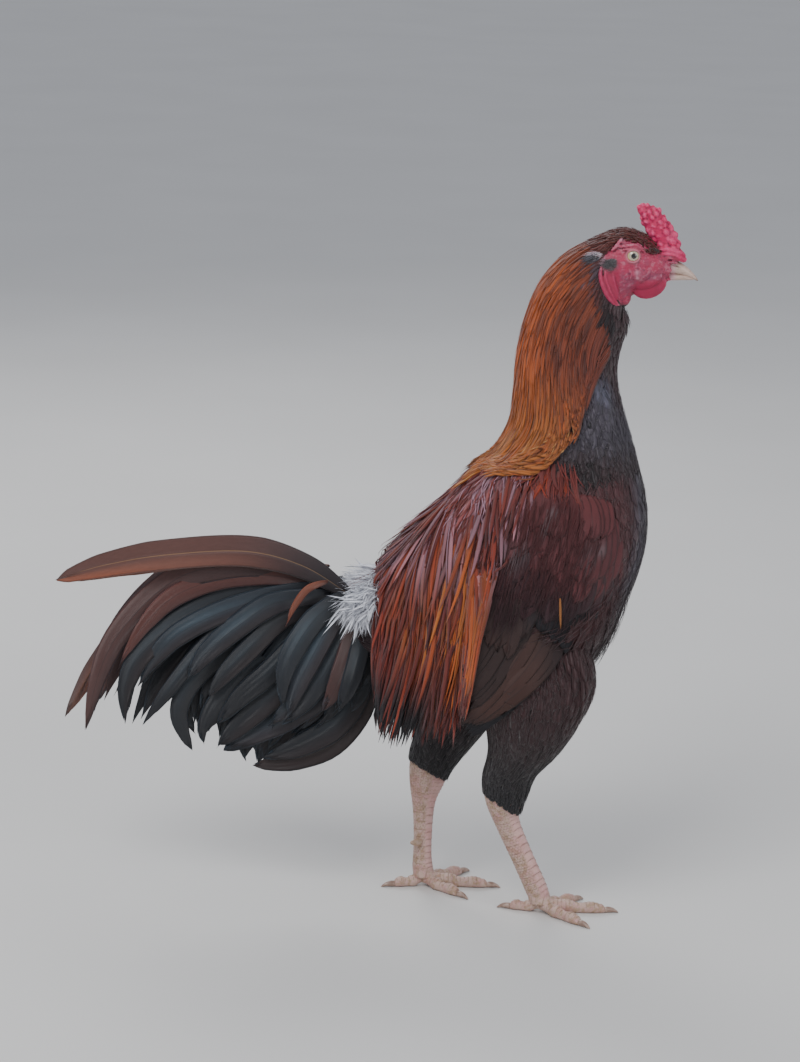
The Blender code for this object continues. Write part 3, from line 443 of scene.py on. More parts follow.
def combed(shape, t, angle, length, drift, steps, low, high, last_station=BODY_END, curl=0.0):
    """Paths that follow the surface from their roots, rising from low to high over it."""
    reach = length / pace(shape, t, angle)
    reach = length / pace(shape, np.minimum(t + reach / 2, last_station), angle)
    s = np.linspace(0, 1, steps + 1)
    tt = np.minimum(t[:, None] + reach[:, None] * s, last_station)
    curl = np.broadcast_to(np.asarray(curl, float), t.shape)
    aa = angle[:, None] + drift[:, None] * s + curl[:, None] * s ** 2.5
    lift = low[:, None] + (high - low)[:, None] * s ** 0.85
    lift[:, 0] -= 0.0012
    base = shape(tt, aa)
    normal = outward(shape, tt, aa)
    return base + normal * lift[..., None], normal


def home_of(t, angle):
    """A root's place on an unwrap of the body: round it, and from the bill to the tail."""
    return np.stack([0.5 * ((angle / math.tau) % 1.0), 0.02 + 0.95 * t / BODY_END], -1)


def side_home(sign):
    """Where one side's wing, thigh and tail start on the unwrap, past the body's own half."""
    return 0.52 if sign < 0 else 0.76


def stations_of(steps):
    """Shares along feathers, ready to spread over them."""
    return np.linspace(0, 1, steps + 1)[None, :, None]


def columns_of(columns):
    """Distance from the shaft across feathers, from 0 to 1, ready to spread over them."""
    return np.abs(np.linspace(-1, 1, columns))[None, None, :]


def fine_strands(coat, shape, t, angle, tone, long, wide, lift, home):
    """Thin barbs over larger feathers, which blur their edges as down and loose barbs do."""
    number, sway = len(t), 0.18
    path, normal = combed(shape, t, angle, long * several(number, 0.7, 1.3),
                          several(number, -sway, sway), 4,
                          lift * several(number, 0.5, 0.9), lift * several(number, 0.9, 1.35))
    tint = (tone * several(number, 0.90, 1.14)[:, None])[:, None, None]
    # Painted shade: darker towards the root, lighter to the tip
    coat.add(path, normal, wide * several(number, 0.7, 1.3), STRAND,
             tint * (0.85 + 0.25 * stations_of(4))[..., None], home, ridge=0.25)


def crown_edge(t):
    """Degrees from the back line to the lower edge of the crown's feathers, at station t."""
    return float(np.interp(t, (0.75, 1.0, 1.35, 1.7, 1.95, 2.3, 2.7, 3.0, 3.3, 3.7, 4.1, 4.5, 4.9,
                               5.3, 5.8),
                           (42, 50, 60, 62, 54, 45, 42, 37, 43, 50, 56, 68, 86, 118, 160)))


def add_crown(coat):
    """Short dark feathers from the comb over the crown to the nape, and in a wedge before the eye."""
    t, angle = scatter(body, 0.85, 5.6, 0.0028, 0.0021,
                       lambda t: 0.0, lambda t: math.radians(crown_edge(t)))
    number = len(t)
    turned = np.degrees(np.abs(angle))
    length = np.interp(t, (0.8, 1.6, 2.4, 3.0, 4.4, 5.6), (0.0034, 0.0046, 0.0066, 0.0085, 0.013, 0.020)) \
        * several(number, 0.8, 1.2)
    low = several(number, 0.0000, 0.0004)
    high = np.interp(t, (0.8, 5.6), (0.0008, 0.0024)) * several(number, 0.6, 1.3)
    path, normal = combed(body, t, angle, length, several(number, -0.12, 0.12), 5, low, high)
    back = ramp(4.3, 5.5, t) * (1 - ramp(55, 85, turned))
    grey = np.exp(-((t - 4.75) / 0.40) ** 2 - ((turned - 66) / 14) ** 2)
    base = painted("crown", ("rust", back * 0.65), ("shadow", ramp(78, 118, turned)),
                   ("shadow", 0.45 * ramp(1.9, 1.2, t) * ramp(42, 56, turned)),
                   (PAINT["slate"] * 0.7, grey * 0.8))
    base = base * several(number, 0.7, 1.3)[:, None]
    # Painted shade: darker towards the root, where the feathers overlap, and a little darker down the shaft
    tint = base[:, None, None] * (0.75 + 0.4 * stations_of(5) - 0.15 * (1 - columns_of(3)))[..., None]
    coat.add(path, normal,
             np.interp(t, (0.8, 1.7, 5.6), (0.0014, 0.0018, 0.0036)) * several(number, 0.8, 1.2), LANCE,
             tint, home_of(t, angle), ridge=0.08, roll=0.10 * np.sign(angle))
    pick = RNG.random(number) < 0.45
    fine_strands(coat, body, t[pick], angle[pick], base[pick], 0.0075, 0.0006, 0.0019,
                 home_of(t[pick], angle[pick]))


# Front edge of the hackle: station, degrees from the back line
HACKLE_EDGE = ((4.6, 5.2, 6.0, 7.2, 8.3, 10.1, 12.0), (62, 86, 122, 144, 127, 100, 84))

# Where the hackle ends over the shoulders: degrees from the back line, station
CAPE_END = ((0, 30, 50, 66, 80, 90, 120), (13.5, 13.9, 13.55, 12.65, 11.85, 11.35, 10.8))

# Angle between two locks of the hackle, and how many lengths they have
LOCK = 0.105
LOCK_KINDS = 64


def hackle_edge(t):
    """Angle from the back line to the front edge of the hackle, at station t."""
    return np.radians(np.interp(t, *HACKLE_EDGE))


def hackle_tint(t, angle, tip, steps, columns):
    """Rust at the back, mahogany on the side, gold at the tips of the cape, dark shafts near the head."""
    number = len(t)
    s = stations_of(steps)
    turned = np.degrees(np.abs(angle))[:, None, None]
    down = t[:, None, None] + s * (tip - t)[:, None, None]
    kind = RNG.random((number, 1, 1))
    tone = painted("rust", ("mahogany", ramp(24, 84, turned) * 0.9 + 0 * s),
                   ("gold", ramp(8.4, 11.6, down) * (0.72 - 0.34 * ramp(64, 98, turned))),
                   ("crown", (1 - ramp(4.8, 6.2, down)) * 0.6),
                   ("crown", 0.50 * ramp(88, 124, turned) * (1 - ramp(9.5, 11.5, down))),
                   (PAINT["mahogany"] * 0.8, (kind < 0.18) * ramp(8.2, 10.4, down) * 0.7),
                   ("rust", (kind > 0.82) * ramp(8.2, 10.4, down) * 0.6))
    tone = np.repeat(tone, columns, axis=2)
    marked = (RNG.random((number, 1, 1)) < 0.10 + 0.30 * (t < 7.0)[:, None, None])
    shaft = (1 - columns_of(columns)) * (0.08 + 0.92 * marked)
    tone = painted(tone, ("shadow", 0.75 * shaft * ramp(0.25, 0.6, s) * (1 - 0.5 * ramp(8, 11, down))))
    light = RNG.normal(1.06, 0.11, (number, 1, 1, 1)).clip(0.7, 1.4)
    # Painted shade: darker towards the root, where the feathers overlap, over a random brightness per feather
    return tone * light * (0.90 + 0.16 * s)[..., None]


def add_hackle(coat):
    """Long narrow neck feathers in dense rows, which end in pointed locks over the shoulders."""
    steps, last_tip = 10, 13.6
    reach_of = several(LOCK_KINDS, -0.85, 0.30)
    for layer, (row, across, width) in enumerate(((0.0056, 0.0032, 0.0052), (0.0074, 0.0040, 0.0013))):
        t, angle = scatter(body, 4.6, 12.2, row, across, lambda t: 0.0, lambda t: float(hackle_edge(t)))
        above = t < np.interp(np.degrees(np.abs(angle)), *CAPE_END) - 0.5
        t, angle = t[above], angle[above]
        number = len(t)
        turned, side = np.abs(angle), np.sign(angle)
        lock = np.round(angle / LOCK)
        off_lock = angle - lock * LOCK
        cape = np.interp(np.degrees(turned), *CAPE_END) + reach_of[lock.astype(int) % LOCK_KINDS] \
            + several(number, -0.30, 0.10) - 1.3 * np.abs(off_lock) / LOCK
        length = np.interp(t, (4.6, 6.0, 8.0, 10.0, 11.8), (0.024, 0.044, 0.068, 0.080, 0.070)) \
            * several(number, 0.85, 1.2)
        stride = pace(body, (t + cape) / 2, angle)
        length = np.clip(length, 0.010, np.maximum((cape - t) * stride, 0.010))
        tip = np.minimum(t + length / stride, last_tip)
        over = np.maximum(0.0, turned - hackle_edge(tip))
        sweep = 0.34 * ramp(10.4, 12.4, tip) * np.sin(turned) * (1 - 0.55 * ramp(1.0, 1.5, turned))
        low = several(number, 0.0004, 0.0010) + 0.0009 * layer
        high = np.interp(t, (4.6, 8.0, 11.8), (0.0030, 0.0050, 0.0072)) * several(number, 0.88, 1.10) \
            + 0.0005 * layer
        drift = several(number, -0.05, 0.05) - over * side - 0.9 * off_lock * ramp(9.2, 12.2, tip)
        path, normal = combed(body, t, angle, length, drift, steps, low, high, curl=-sweep * side)
        tint = hackle_tint(t, angle, tip, steps, 3)
        if layer:
            straw = (RNG.random(number) < 0.34) * ramp(8.8, 11.0, t) * (1 - ramp(1.3, 1.9, turned))
            tint = painted(tint * 1.05, ("straw", (straw[:, None, None] + 0 * tint[..., 0]) * 0.65))
        coat.add(path, normal, width * several(number, 0.8, 1.2), LANCE, tint, home_of(t, angle),
                 ridge=0.06, roll=0.10 * side + several(number, -0.05, 0.05))


def throat_fullness(t, angle):
    """How far the front feathers stand off the neck: full under the chin, sunk in further down."""
    front = ramp(106, 154, np.degrees(np.abs(angle)))
    return (0.0042 * np.exp(-((t - 4.7) / 0.75) ** 2) - 0.0034 * np.exp(-((t - 9.0) / 2.4) ** 2)) * front


def throat_tone(t, angle):
    """Brown-black, with a painted blue-grey sheen patch on each side and painted shade in a hollow under it.
    """
    turned = np.degrees(np.abs(angle))
    # The slate patch and the band below it are painted sheen; the dark in the hollow is painted shade
    patch = np.exp(-((t - 8.9) / 0.60) ** 2 - ((turned - 128) / 18) ** 2)
    hollow_shade = np.exp(-((t - 11.7) / 0.45) ** 2 - ((turned - 106) / 15) ** 2)
    return painted("shadow", ("dark_wine", 0.75 * (1 - ramp(9.0, 10.5, t)) + 0.35),
                   ("ash", 0.10), ("slate", patch),
                   ("slate", 0.30 * ramp(9.0, 9.8, t) * (1 - ramp(10.4, 11.4, t))),
                   (PAINT["wine"] * 0.8, 0.7 * ramp(10.8, 12.2, t) * (1 - ramp(130, 155, turned))),
                   (PAINT["tar"] * 0.6, hollow_shade * 0.9))


def add_throat(coat):
    """Small smooth feathers down the front of the neck, under the edge of the hackle."""
    first = lambda t: float(hackle_edge(t)) - 0.25
    t, angle = scatter(body, 4.45, 12.4, 0.0056, 0.0045, first, lambda t: math.pi)
    number = len(t)
    path, normal = combed(body, t, angle, several(number, 0.014, 0.020), several(number, -0.08, 0.08), 5,
                          several(number, 0.0, 0.0004)
                          + throat_fullness(t, angle) * np.where(t < 6, 0.6, 1.0),
                          several(number, 0.0008, 0.0012) + throat_fullness(t + 0.5, angle))
    base = throat_tone(t, angle) * several(number, 0.94, 1.08)[:, None]
    base[RNG.random(number) < 0.02] *= 0.25
    # Painted shade: darker towards the root, where the feathers overlap
    tint = base[:, None, None] * (0.92 + 0.12 * stations_of(5) + 0.04 * columns_of(3))[..., None]
    coat.add(path, normal, several(number, 0.0070, 0.0090), ROUND, tint, home_of(t, angle), ridge=0.04,
             roll=0.04 * np.sign(angle))
    t, angle = scatter(body, 4.6, 12.4, 0.0056, 0.0030, first, lambda t: math.pi)
    lift = 0.0013 + throat_fullness(t + 0.4, angle)
    fine_strands(coat, body, t, angle, throat_tone(t, angle), 0.012, 0.0009, lift, home_of(t, angle))


def belly_fullness(t, angle):
    """How far the lowest breast feathers stand off the body, where they meet the thighs."""
    return 0.0100 * np.exp(-((t - 16.5) / 0.95) ** 2) * ramp(104, 140, np.degrees(np.abs(angle)))


def breast_tone(t, angle):
    """Dark wine on the side of the breast, blue-black with painted sheen along its front, brown-black on the
    belly.
    """
    turned = np.degrees(np.abs(angle))
    red = (1 - ramp(14.4, 16.2, t)) * (1 - ramp(134, 160, turned))
    # The slate along the front is a painted blue-grey sheen
    return painted("thigh", ("wine", 0.30 + 0.70 * red),
                   ("tar", 0.50 * ramp(146, 172, turned) + 0.25 * ramp(17, 19, t)),
                   ("ash", 0.06 * (1 - ramp(12.6, 14.0, t))),
                   ("slate", 0.34 * np.exp(-((turned - 158) / 10) ** 2) * (1 - ramp(13.5, 15.5, t))))


def add_breast(coat, fluff):
    """Smooth rounded feathers over the breast and belly, with a few fine barbs over them."""
    first = lambda t: math.radians(float(np.interp(t, (12.0, 13.0, 16.0, 18.0, 20.0),
                                                   (80, 74, 74, 84, 92))))
    t, angle = scatter(body, 11.9, 20.6, 0.0080, 0.0070, first, lambda t: math.pi)
    number = len(t)
    length = np.interp(t, (12, 15, 18, 20), (0.024, 0.032, 0.036, 0.034)) * several(number, 0.85, 1.15)
    path, normal = combed(body, t, angle, length, several(number, -0.05, 0.05), 6,
                          several(number, 0.0, 0.0004) + 0.5 * belly_fullness(t, angle),
                          several(number, 0.0010, 0.0015) + belly_fullness(t + 0.5, angle))
    base = breast_tone(t, angle) * several(number, 0.94, 1.07)[:, None]
    # Painted shade: darker towards the root, where the feathers overlap
    tint = base[:, None, None] * (0.92 + 0.12 * stations_of(6) + 0.04 * columns_of(5))[..., None]
    width = np.interp(t, (12, 15, 20), (0.0120, 0.0150, 0.0140)) * several(number, 0.9, 1.1)
    coat.add(path, normal, width, ROUND, tint, home_of(t, angle), 5,
             ridge=0.03, droop=0.05, roll=0.04 * np.sign(angle), fringe=0.006)
    t, angle = scatter(body, 12.0, 20.6, 0.0068, 0.0038, first, lambda t: math.pi)
    lift = 0.0016 + belly_fullness(t + 0.4, angle)
    fine_strands(fluff, body, t, angle, breast_tone(t, angle), 0.018, 0.0010, lift, home_of(t, angle))


def add_back(coat):
    """Lances of the shoulders and back: maroon, with ember streaks and a painted lilac sheen on the barbs."""
    last = lambda t: math.radians(float(np.interp(t, (11.6, 13.0, 14.5, 16.5), (96, 84, 70, 62))))
    steps = 8
    s = stations_of(steps)
    for layer, (row, across, width) in enumerate(((0.0060, 0.0044, 0.0054), (0.0052, 0.0032, 0.0010))):
        t, angle = scatter(body, 11.6, 17.6, row, across, lambda t: 0.0, last)
        number = len(t)
        root = body(t, angle)
        turned, side = np.degrees(np.abs(angle)), np.sign(angle)
        length = np.interp(t, (11.6, 14, 17), (0.034, 0.046, 0.050)) * several(number, 0.7, 1.25) \
            * (1.0, 0.60)[layer]
        sway = 0.30 * grain(root, 38, 2) * side
        path, normal = combed(body, t, angle, length,
                              several(number, -0.07, 0.07) + 0.12 * side + sway, steps,
                              several(number, 0.0002, 0.0008) + 0.001 * layer,
                              several(number, 0.0028, 0.0052) + 0.0006 * layer,
                              curl=several(number, -0.12, 0.12))
        kind = RNG.random(number)
        base = np.where((kind > 0.82)[:, None], PAINT["ember"] * 0.8, PAINT["maroon"])
        # Painted lilac sheen: strongest about 44 degrees from the back line, in patches, none low on the
        # sides
        sheen_mask = (0.35 + 0.65 * np.exp(-((turned - 44) / 30) ** 2)) * ramp(-0.4, 0.45, grain(root, 50, 2)) \
            * (1 - ramp(60, 80, turned))
        if layer:
            base = np.where((kind < 0.85 * sheen_mask)[:, None],
                            mixed(PAINT["lilac_sheen"], PAINT["maroon"], 0.25), base)
        else:
            base = painted(base, ("lilac_sheen", 0.42 * sheen_mask * several(number, 0.4, 1.0)))
        base = base * several(number, 0.80, 1.22)[:, None]
        tint = painted(base[:, None, None], ("shadow", 0.30 * (1 - columns_of(3)) * (layer == 0) + 0 * s))
        # Painted shade: darker towards the root, where the lances overlap
        coat.add(path, normal, width * several(number, 0.8, 1.2), LANCE,
                 tint * (0.86 + 0.24 * s)[..., None], home_of(t, angle), ridge=0.08, roll=0.10 * side)


def guide_mesh(shape, start, end, stations, sides, lift=0.0):
    """A closed surface to comb long feathers over: its points and faces."""
    points = shape(np.linspace(start, end, stations)[:, None], full_turn(sides)[None], lift).reshape(-1, 3)
    i = np.arange((stations - 1) * sides)
    j = i - i % sides + (i + 1) % sides
    faces = np.stack([i, j, j + sides, i + sides], -1)
    return [tuple(p) for p in points], [tuple(f) for f in faces]


def guide_tree(meshes):
    """Several guide surfaces as one, to find the nearest of them along a ray."""
    points, faces = [], []
    for more, sides in meshes:
        base = len(points)
        points += more
        faces += [tuple(base + k for k in face) for face in sides]
    return BVHTree.FromPolygons(points, faces)


def draped(guide, roots, normals, ways, lengths, steps, low, high, sag=0.6):
    """Paths combed over a guide along their ways, which hang free once it falls away or turns under."""
    paths = np.empty((len(roots), steps + 1, 3))
    ups = np.empty_like(paths)
    for k, (root, normal, way) in enumerate(zip(roots, normals, ways)):
        base, n, d = Vector(root), Vector(normal), Vector(way)
        step = lengths[k] / steps
        paths[k, 0], ups[k, 0] = base - n * 0.0012, n
        free = False
        for i in range(1, steps + 1):
            flat = (d - n * d.dot(n)).normalized()
            guess = base + flat * step
            if not free:
                hit, hit_normal, _, _ = guide.ray_cast(guess + n * 0.022, -n, 0.034)
                if hit is not None and hit_normal.dot(n) < 0:
                    hit_normal = -hit_normal
                free = hit is None or hit_normal.z < -0.22
            if free:
                base = guess
                n = Vector((n.x, n.y, max(n.z, 0.0))).normalized()
                d = (d + Vector((0, 0, -sag))).normalized()
            else:
                base = hit
                n = (n * 0.55 + hit_normal * 0.45).normalized()
            paths[k, i] = base + n * (low[k] + (high[k] - low[k]) * i / steps)
            ups[k, i] = n
    smoothed = paths.copy()
    smoothed[:, 1:-1] = paths[:, 1:-1] * 0.5 + (paths[:, :-2] + paths[:, 2:]) * 0.25
    return smoothed, ups


# Hem of the saddle feathers: x, z
SADDLE_HEM = ((-0.112, -0.090, -0.075, -0.060, -0.030, -0.008, 0.008, 0.020),
              (0.218, 0.176, 0.162, 0.160, 0.172, 0.186, 0.200, 0.232))

# Rear and front edge of the saddle feathers: z, x
SADDLE_REAR = ((0.150, 0.171, 0.194, 0.282, 0.309), (-0.078, -0.082, -0.085, -0.087, -0.084))
SADDLE_FRONT = ((0.187, 0.219, 0.248, 0.285, 0.318, 0.345), (-0.010, -0.005, -0.001, 0.006, 0.013, 0.055))

# Lowest roots of the saddle feathers: station, degrees from the back line
SADDLE_FOOT = ((12.4, 13.2, 14.2, 16, 17.5, 19.6), (70, 64, 60, 70, 92, 108))

# Layers of the saddle: row step, step across, width, share of the drop, height over the one below, share of
# orange, first and last station, degrees from the back line to the first roots, share of painted lilac sheen
SADDLE_LAYERS = (
    (0.0064, 0.0037, 0.0050, 1.00, 0.0000, 0.10, 13.9, 19.6, 3, 0.40),
    (0.0088, 0.0056, 0.0046, 0.62, 0.0016, 0.45, 13.9, 19.6, 3, 0.40),
    (0.0082, 0.0044, 0.0040, 0.84, 0.0026, 1.00, 13.7, 18.0, 34, 0.40),
    (0.0082, 0.0044, 0.0012, 0.92, 0.0018, 0.40, 13.9, 19.6, 3, 0.85),
    (0.0062, 0.0042, 0.0036, 0.33, 0.0030, 0.00, 12.4, 14.0, 44, 0.40),
)


def saddle_tint(x, z, steps, orange, lilac_sheen):
    """Maroon, with painted lilac sheen near the back and black ends at the rear; the top layer is mostly
    orange.
    """
    s = stations_of(steps)
    x, z = x[..., None], z[..., None]
    pick = RNG.random((len(x), 1, 1))
    high = ramp(0.215, 0.275, z)
    band = np.exp(-(np.abs(x + 0.019 + 0.018 * high) / (0.027 + 0.015 * high)) ** 3)
    band = band * ramp(0.178, 0.205, z) * ramp(0.350, 0.326, z)
    low = ramp(0.235, 0.190, z + 0.35 * (x + 0.075)) * ramp(0.5, 0.8, s)
    # Lilac is a painted sheen, high on the saddle near the back
    return painted(PAINT["maroon"] * 0.9,
                   ("orange", orange * ramp(0.0, 0.30, s) * (0.15 + 0.85 * band)),
                   ("gold", orange * (pick < 0.25) * ramp(0.2, 0.6, s) * 0.6 * band),
                   ("ember", (pick > 0.70) * 0.45 + 0 * s),
                   ("lilac_sheen", ((pick * 7) % 1 < lilac_sheen) * ramp(0.272, 0.322, z) * (0.30 + 0.45 * lilac_sheen)),
                   ("dark_wine", ((pick * 11) % 1 < 0.6) * ramp(0.35, 0.9, s) * 0.6 * (1 - orange)),
                   (PAINT["ash"] * 0.5, ((pick * 13) % 1 < 0.3) * ramp(0.86, 1.0, s) * 0.7),
                   ("tar", low * ((pick * 5) % 1 < 0.75) * ramp(-0.030, -0.050, x)))


def add_saddle(coat, guide, bed):
    """Long lances from the back over the flanks that hang past the belly, with shorter ones on top."""
    steps = 12
    s = stations_of(steps)
    for row, across, width, drop, raised, orange, start, end, first, lilac_sheen in SADDLE_LAYERS:
        t, angle = scatter(body, start, end, row, across, lambda t: math.radians(first),
                           lambda t: math.radians(float(np.interp(t, *SADDLE_FOOT))))
        x_root = body(t, angle)[:, 0]
        keep = x_root > several(len(t), -0.094, -0.084)
        if orange == 1:
            keep &= RNG.random(len(t)) < 0.12 + 0.88 * ramp(-0.056, -0.036, x_root)
        t, angle = t[keep], angle[keep]
        number = len(t)
        root, normal = body(t, angle), outward(body, t, angle)
        wide, side = np.abs(root[:, 1]), np.sign(root[:, 1])
        fall = drop * (several(number, 0.97, 1.03) if drop > 0.9
                       else several(number, 0.62, 1.28).clip(0.3, 0.98 / drop))
        length = (root[:, 2] - np.interp(root[:, 0] - 0.014, *SADDLE_HEM)) * fall \
            + several(number, -0.022, 0.006)
        length = length * ramp(-0.004, 0.024, wide)
        length = np.clip(length, 0.034, 0.055 + 0.120 * ramp(0.010, 0.03, wide))
        lean = 0.34 * grain(root * (1, 1, 0.5), 42, 2) + several(number, -0.05, 0.05)
        ways = np.stack([0.01 - 0.10 * ramp(-0.005, -0.07, root[:, 0])
                         - 1.1 * ramp(0.020, 0.0, wide) + lean,
                         0.34 * side * ramp(0.0, 0.016, wide), np.full(number, -0.95)], -1)
        low = several(number, 0.0006, 0.0014) + raised
        high = several(number, 0.0040, 0.0074) + raised * 0.6
        path, ups = draped(guide, root, normal, unit(ways), length, steps, low, high)
        path[..., 0] += (several(number, -0.08, 0.08) - 0.10)[:, None] * length[:, None] * s[..., 0] ** 2
        rear = np.interp(path[..., 2], *SADDLE_REAR) + several(number, -0.004, 0.004)[:, None]
        front = np.interp(path[..., 2], *SADDLE_FRONT) \
            - 0.26 * np.maximum(0.0, several(number, -0.006, 0.022))[:, None]
        path[..., 0] += (np.clip(path[..., 0], rear, front) - path[..., 0]) * ramp(0.05, 0.50, s[..., 0])
        x, z = path[..., 0], path[..., 2]
        over = bed(x, z) + 0.0058 + raised + (several(number, 0, 0.0026)[:, None] * s[..., 0])
        over = over * ramp(-0.030, -0.008, x) * ramp(0.175, 0.190, z) * ramp(0.345, 0.315, z)
        path[..., 1] = side[:, None] * np.maximum(side[:, None] * path[..., 1], over)
        tone = saddle_tint(x, z, steps, orange * (RNG.random((number, 1, 1)) < 0.85), lilac_sheen)
        tone = tone * RNG.normal(1, 0.15, (number, 1, 1, 1)).clip(0.6, 1.5)
        tint = painted(np.repeat(tone, 3, axis=2),
                       ("shadow", 0.28 * (1 - columns_of(3)) * (1 - ramp(0.8, 1.0, s))))
        # Painted shade: darker towards the root, where the lances overlap
        coat.add(path, ups, width * several(number, 0.75, 1.25), LANCE, tint * (0.84 + 0.28 * s)[..., None],
                 home_of(t, angle), ridge=0.08, roll=0.10 * side)


# Where a thigh's feathers end: stations on the leg behind and in front, and the station that none passes
FEATHER_END = {"right": (5.15, 6.45), "left": (4.55, 5.75)}
SHANK_TOP = 6.9


def add_thigh(coat, side):
    """Short near-black feathers of one thigh, ending in a slanted edge over the top of the shank."""
    shape = leg(side)
    behind, front = FEATHER_END[side]
    for layer, (row, across) in enumerate(((0.0056, 0.0050), (0.0050, 0.0030))):
        t, angle = scatter(shape, 0.15, front, row, across, lambda t: 0.0, lambda t: math.pi)
        end = behind + (front - behind) * (1 - np.cos(angle)) / 2
        keep = t < end - 0.25
        t, angle, end = t[keep], angle[keep], end[keep]
        number = len(t)
        length = np.interp(t, (0, 3, 5, 6.0), (0.026, 0.020, 0.014, 0.010)) * several(number, 0.8, 1.2)
        room = (end - t) * pace(shape, (t + end) / 2, angle) * several(number, 0.85, 1.12)
        length = np.clip(length, 0.004, np.maximum(room, 0.004))
        home = np.stack([side_home(SIDES[side]) + 0.22 * ((angle / math.tau) % 1.0),
                         0.02 + 0.4 * t / LEG_END], -1)
        full = 0.0034 * np.exp(-((t - 0.3) / 0.9) ** 2) * ramp(0.50, 0.92, -np.cos(angle))
        path, normal = combed(shape, t, angle, length, several(number, -0.12, 0.12), 5,
                              several(number, 0.0, 0.0004) + 0.0005 * layer + full,
                              several(number, 0.0008, 0.0013) + 0.0004 * layer + full, SHANK_TOP)
        base = painted("thigh", ("tar", ramp(2.0, 4.5, t)), ("wine", 0.40 * (1 - ramp(0.5, 3.2, t)))) \
            * several(number, 0.93, 1.08)[:, None]
        # Painted shade: darker towards the root, where the feathers overlap
        tint = base[:, None, None] * (0.92 + 0.14 * stations_of(5))[..., None]
        width = np.interp(t, (0, 3, 6), (0.0086, 0.0072, 0.0048)) * several(number, 0.85, 1.15)
        coat.add(path, normal, 0.0012 * several(number, 0.7, 1.3) if layer else width,
                 STRAND if layer else ROUND, tint, home, ridge=0.04, roll=0.05 * np.sign(angle))


# The wing's rows from the tips up: line of the roots from front to back, line of the tips, feathers,
# width, height over the bed at root and tip, paint at the front and at the back
WING_ROWS = (
    (((0.074, 0.262), (0.058, 0.276)), ((-0.006, 0.172), (-0.010, 0.184)), 4, 0.014, 0.0004, 0.0012,
     "tar", "tar"),
    (((0.0765, 0.262), (0.050, 0.288)), ((0.0015, 0.1845), (-0.012, 0.186)), 6, 0.0180, 0.0012, 0.0022,
     "chocolate", "chocolate"),
    (((0.046, 0.292), (0.018, 0.322)), ((-0.006, 0.198), (-0.013, 0.232)), 7, 0.0175, 0.0018, 0.0030,
     "quill", "quill"),
    (((0.103, 0.296), (0.072, 0.312), (0.044, 0.324), (0.026, 0.334), (0.012, 0.340)),
     ((0.0970, 0.268), (0.0745, 0.2455), (0.0445, 0.2750), (0.0250, 0.2420), (-0.002, 0.256)), 13, 0.0195,
     0.0030, 0.0038, "tar", "quill"),
    (((0.112, 0.318), (0.072, 0.332), (0.020, 0.354)), ((0.1040, 0.274), (0.060, 0.272), (0.006, 0.294)),
     13, 0.0185, 0.0036, 0.0046, "dark_wine", "dark_wine"),
    (((0.114, 0.334), (0.074, 0.348), (0.026, 0.362)), ((0.1080, 0.290), (0.066, 0.292), (0.012, 0.310)),
     14, 0.0180, 0.0040, 0.0052, "wine", "dark_wine"),
    (((0.114, 0.350), (0.076, 0.362), (0.032, 0.370)), ((0.1100, 0.306), (0.072, 0.308), (0.020, 0.324)),
     14, 0.0175, 0.0044, 0.0057, "wine", "wine"),
    (((0.110, 0.364), (0.076, 0.374), (0.038, 0.378)), ((0.1100, 0.324), (0.074, 0.324), (0.028, 0.338)),
     13, 0.0170, 0.0046, 0.0060, "wine", "wine"),
    (((0.103, 0.378), (0.074, 0.384), (0.044, 0.386)), ((0.107, 0.342), (0.074, 0.342), (0.036, 0.354)),
     12, 0.0160, 0.0046, 0.0062, "wine", "wine"),
)

# Front edge of the wing: z, x
WING_FRONT = ((0.230, 0.262, 0.300, 0.330, 0.360, 0.385), (0.074, 0.101, 0.112, 0.116, 0.115, 0.107))

# Top and bottom edge of the wing's coverts: x, z
COVERT_TOP = ((-0.004, 0.03, 0.07, 0.112), (0.330, 0.375, 0.388, 0.345))
COVERT_FLOOR = ((-0.004, 0.028, 0.045, 0.069, 0.090, 0.112), (0.284, 0.276, 0.295, 0.275, 0.285, 0.310))

# Fluff on the wing: centre x and z, spread
WING_FLUFF = ((0.031, 0.335, 0.007), (0.056, 0.368, 0.005), (0.093, 0.337, 0.006))

# The one orange feather on the right wing: root and tip, x and z
ORANGE_FEATHER = ((0.0672, 0.2960), (0.0690, 0.2672))


class WingBed:
    """How far out the body and thigh stand, as a smoothed grid seen from the side."""

    def __init__(self, guide):
        self.x0, self.z0, self.step = -0.06, 0.13, 0.004
        grid = np.zeros((50, 68))
        for i, k in np.ndindex(grid.shape):
            x, z = self.x0 + i * self.step, self.z0 + k * self.step
            hit = guide.ray_cast(Vector((x, 0.2, z)), Vector((0, -1, 0)), 0.2)[0]
            least = 0.046 + 0.05 * (z - 0.167) - 0.035 * float(ramp(0.098, 0.122, x))
            grid[i, k] = max(hit.y, least) if hit else least
        for _ in range(6):
            grid[1:-1, 1:-1] = (grid[1:-1, 1:-1] * 2 + grid[:-2, 1:-1] + grid[2:, 1:-1]
                                + grid[1:-1, :-2] + grid[1:-1, 2:]) / 6
        self.grid = grid

    def __call__(self, x, z):
        grid = self.grid
        i = np.clip((x - self.x0) / self.step, 0, grid.shape[0] - 1.001)
        k = np.clip((z - self.z0) / self.step, 0, grid.shape[1] - 1.001)
        a, b = np.floor(i).astype(int), np.floor(k).astype(int)
        f, g = i - a, k - b
        return (grid[a, b] * (1 - f) * (1 - g) + grid[a + 1, b] * f * (1 - g)
                + grid[a, b + 1] * (1 - f) * g + grid[a + 1, b + 1] * f * g)


def along_line(line, share):
    """Points at each share of a polyline whose points are evenly spaced."""
    line = np.asarray(line, float)
    at = np.linspace(0, 1, len(line))
    return np.stack([np.interp(share, at, line[:, 0]), np.interp(share, at, line[:, 1])], -1)


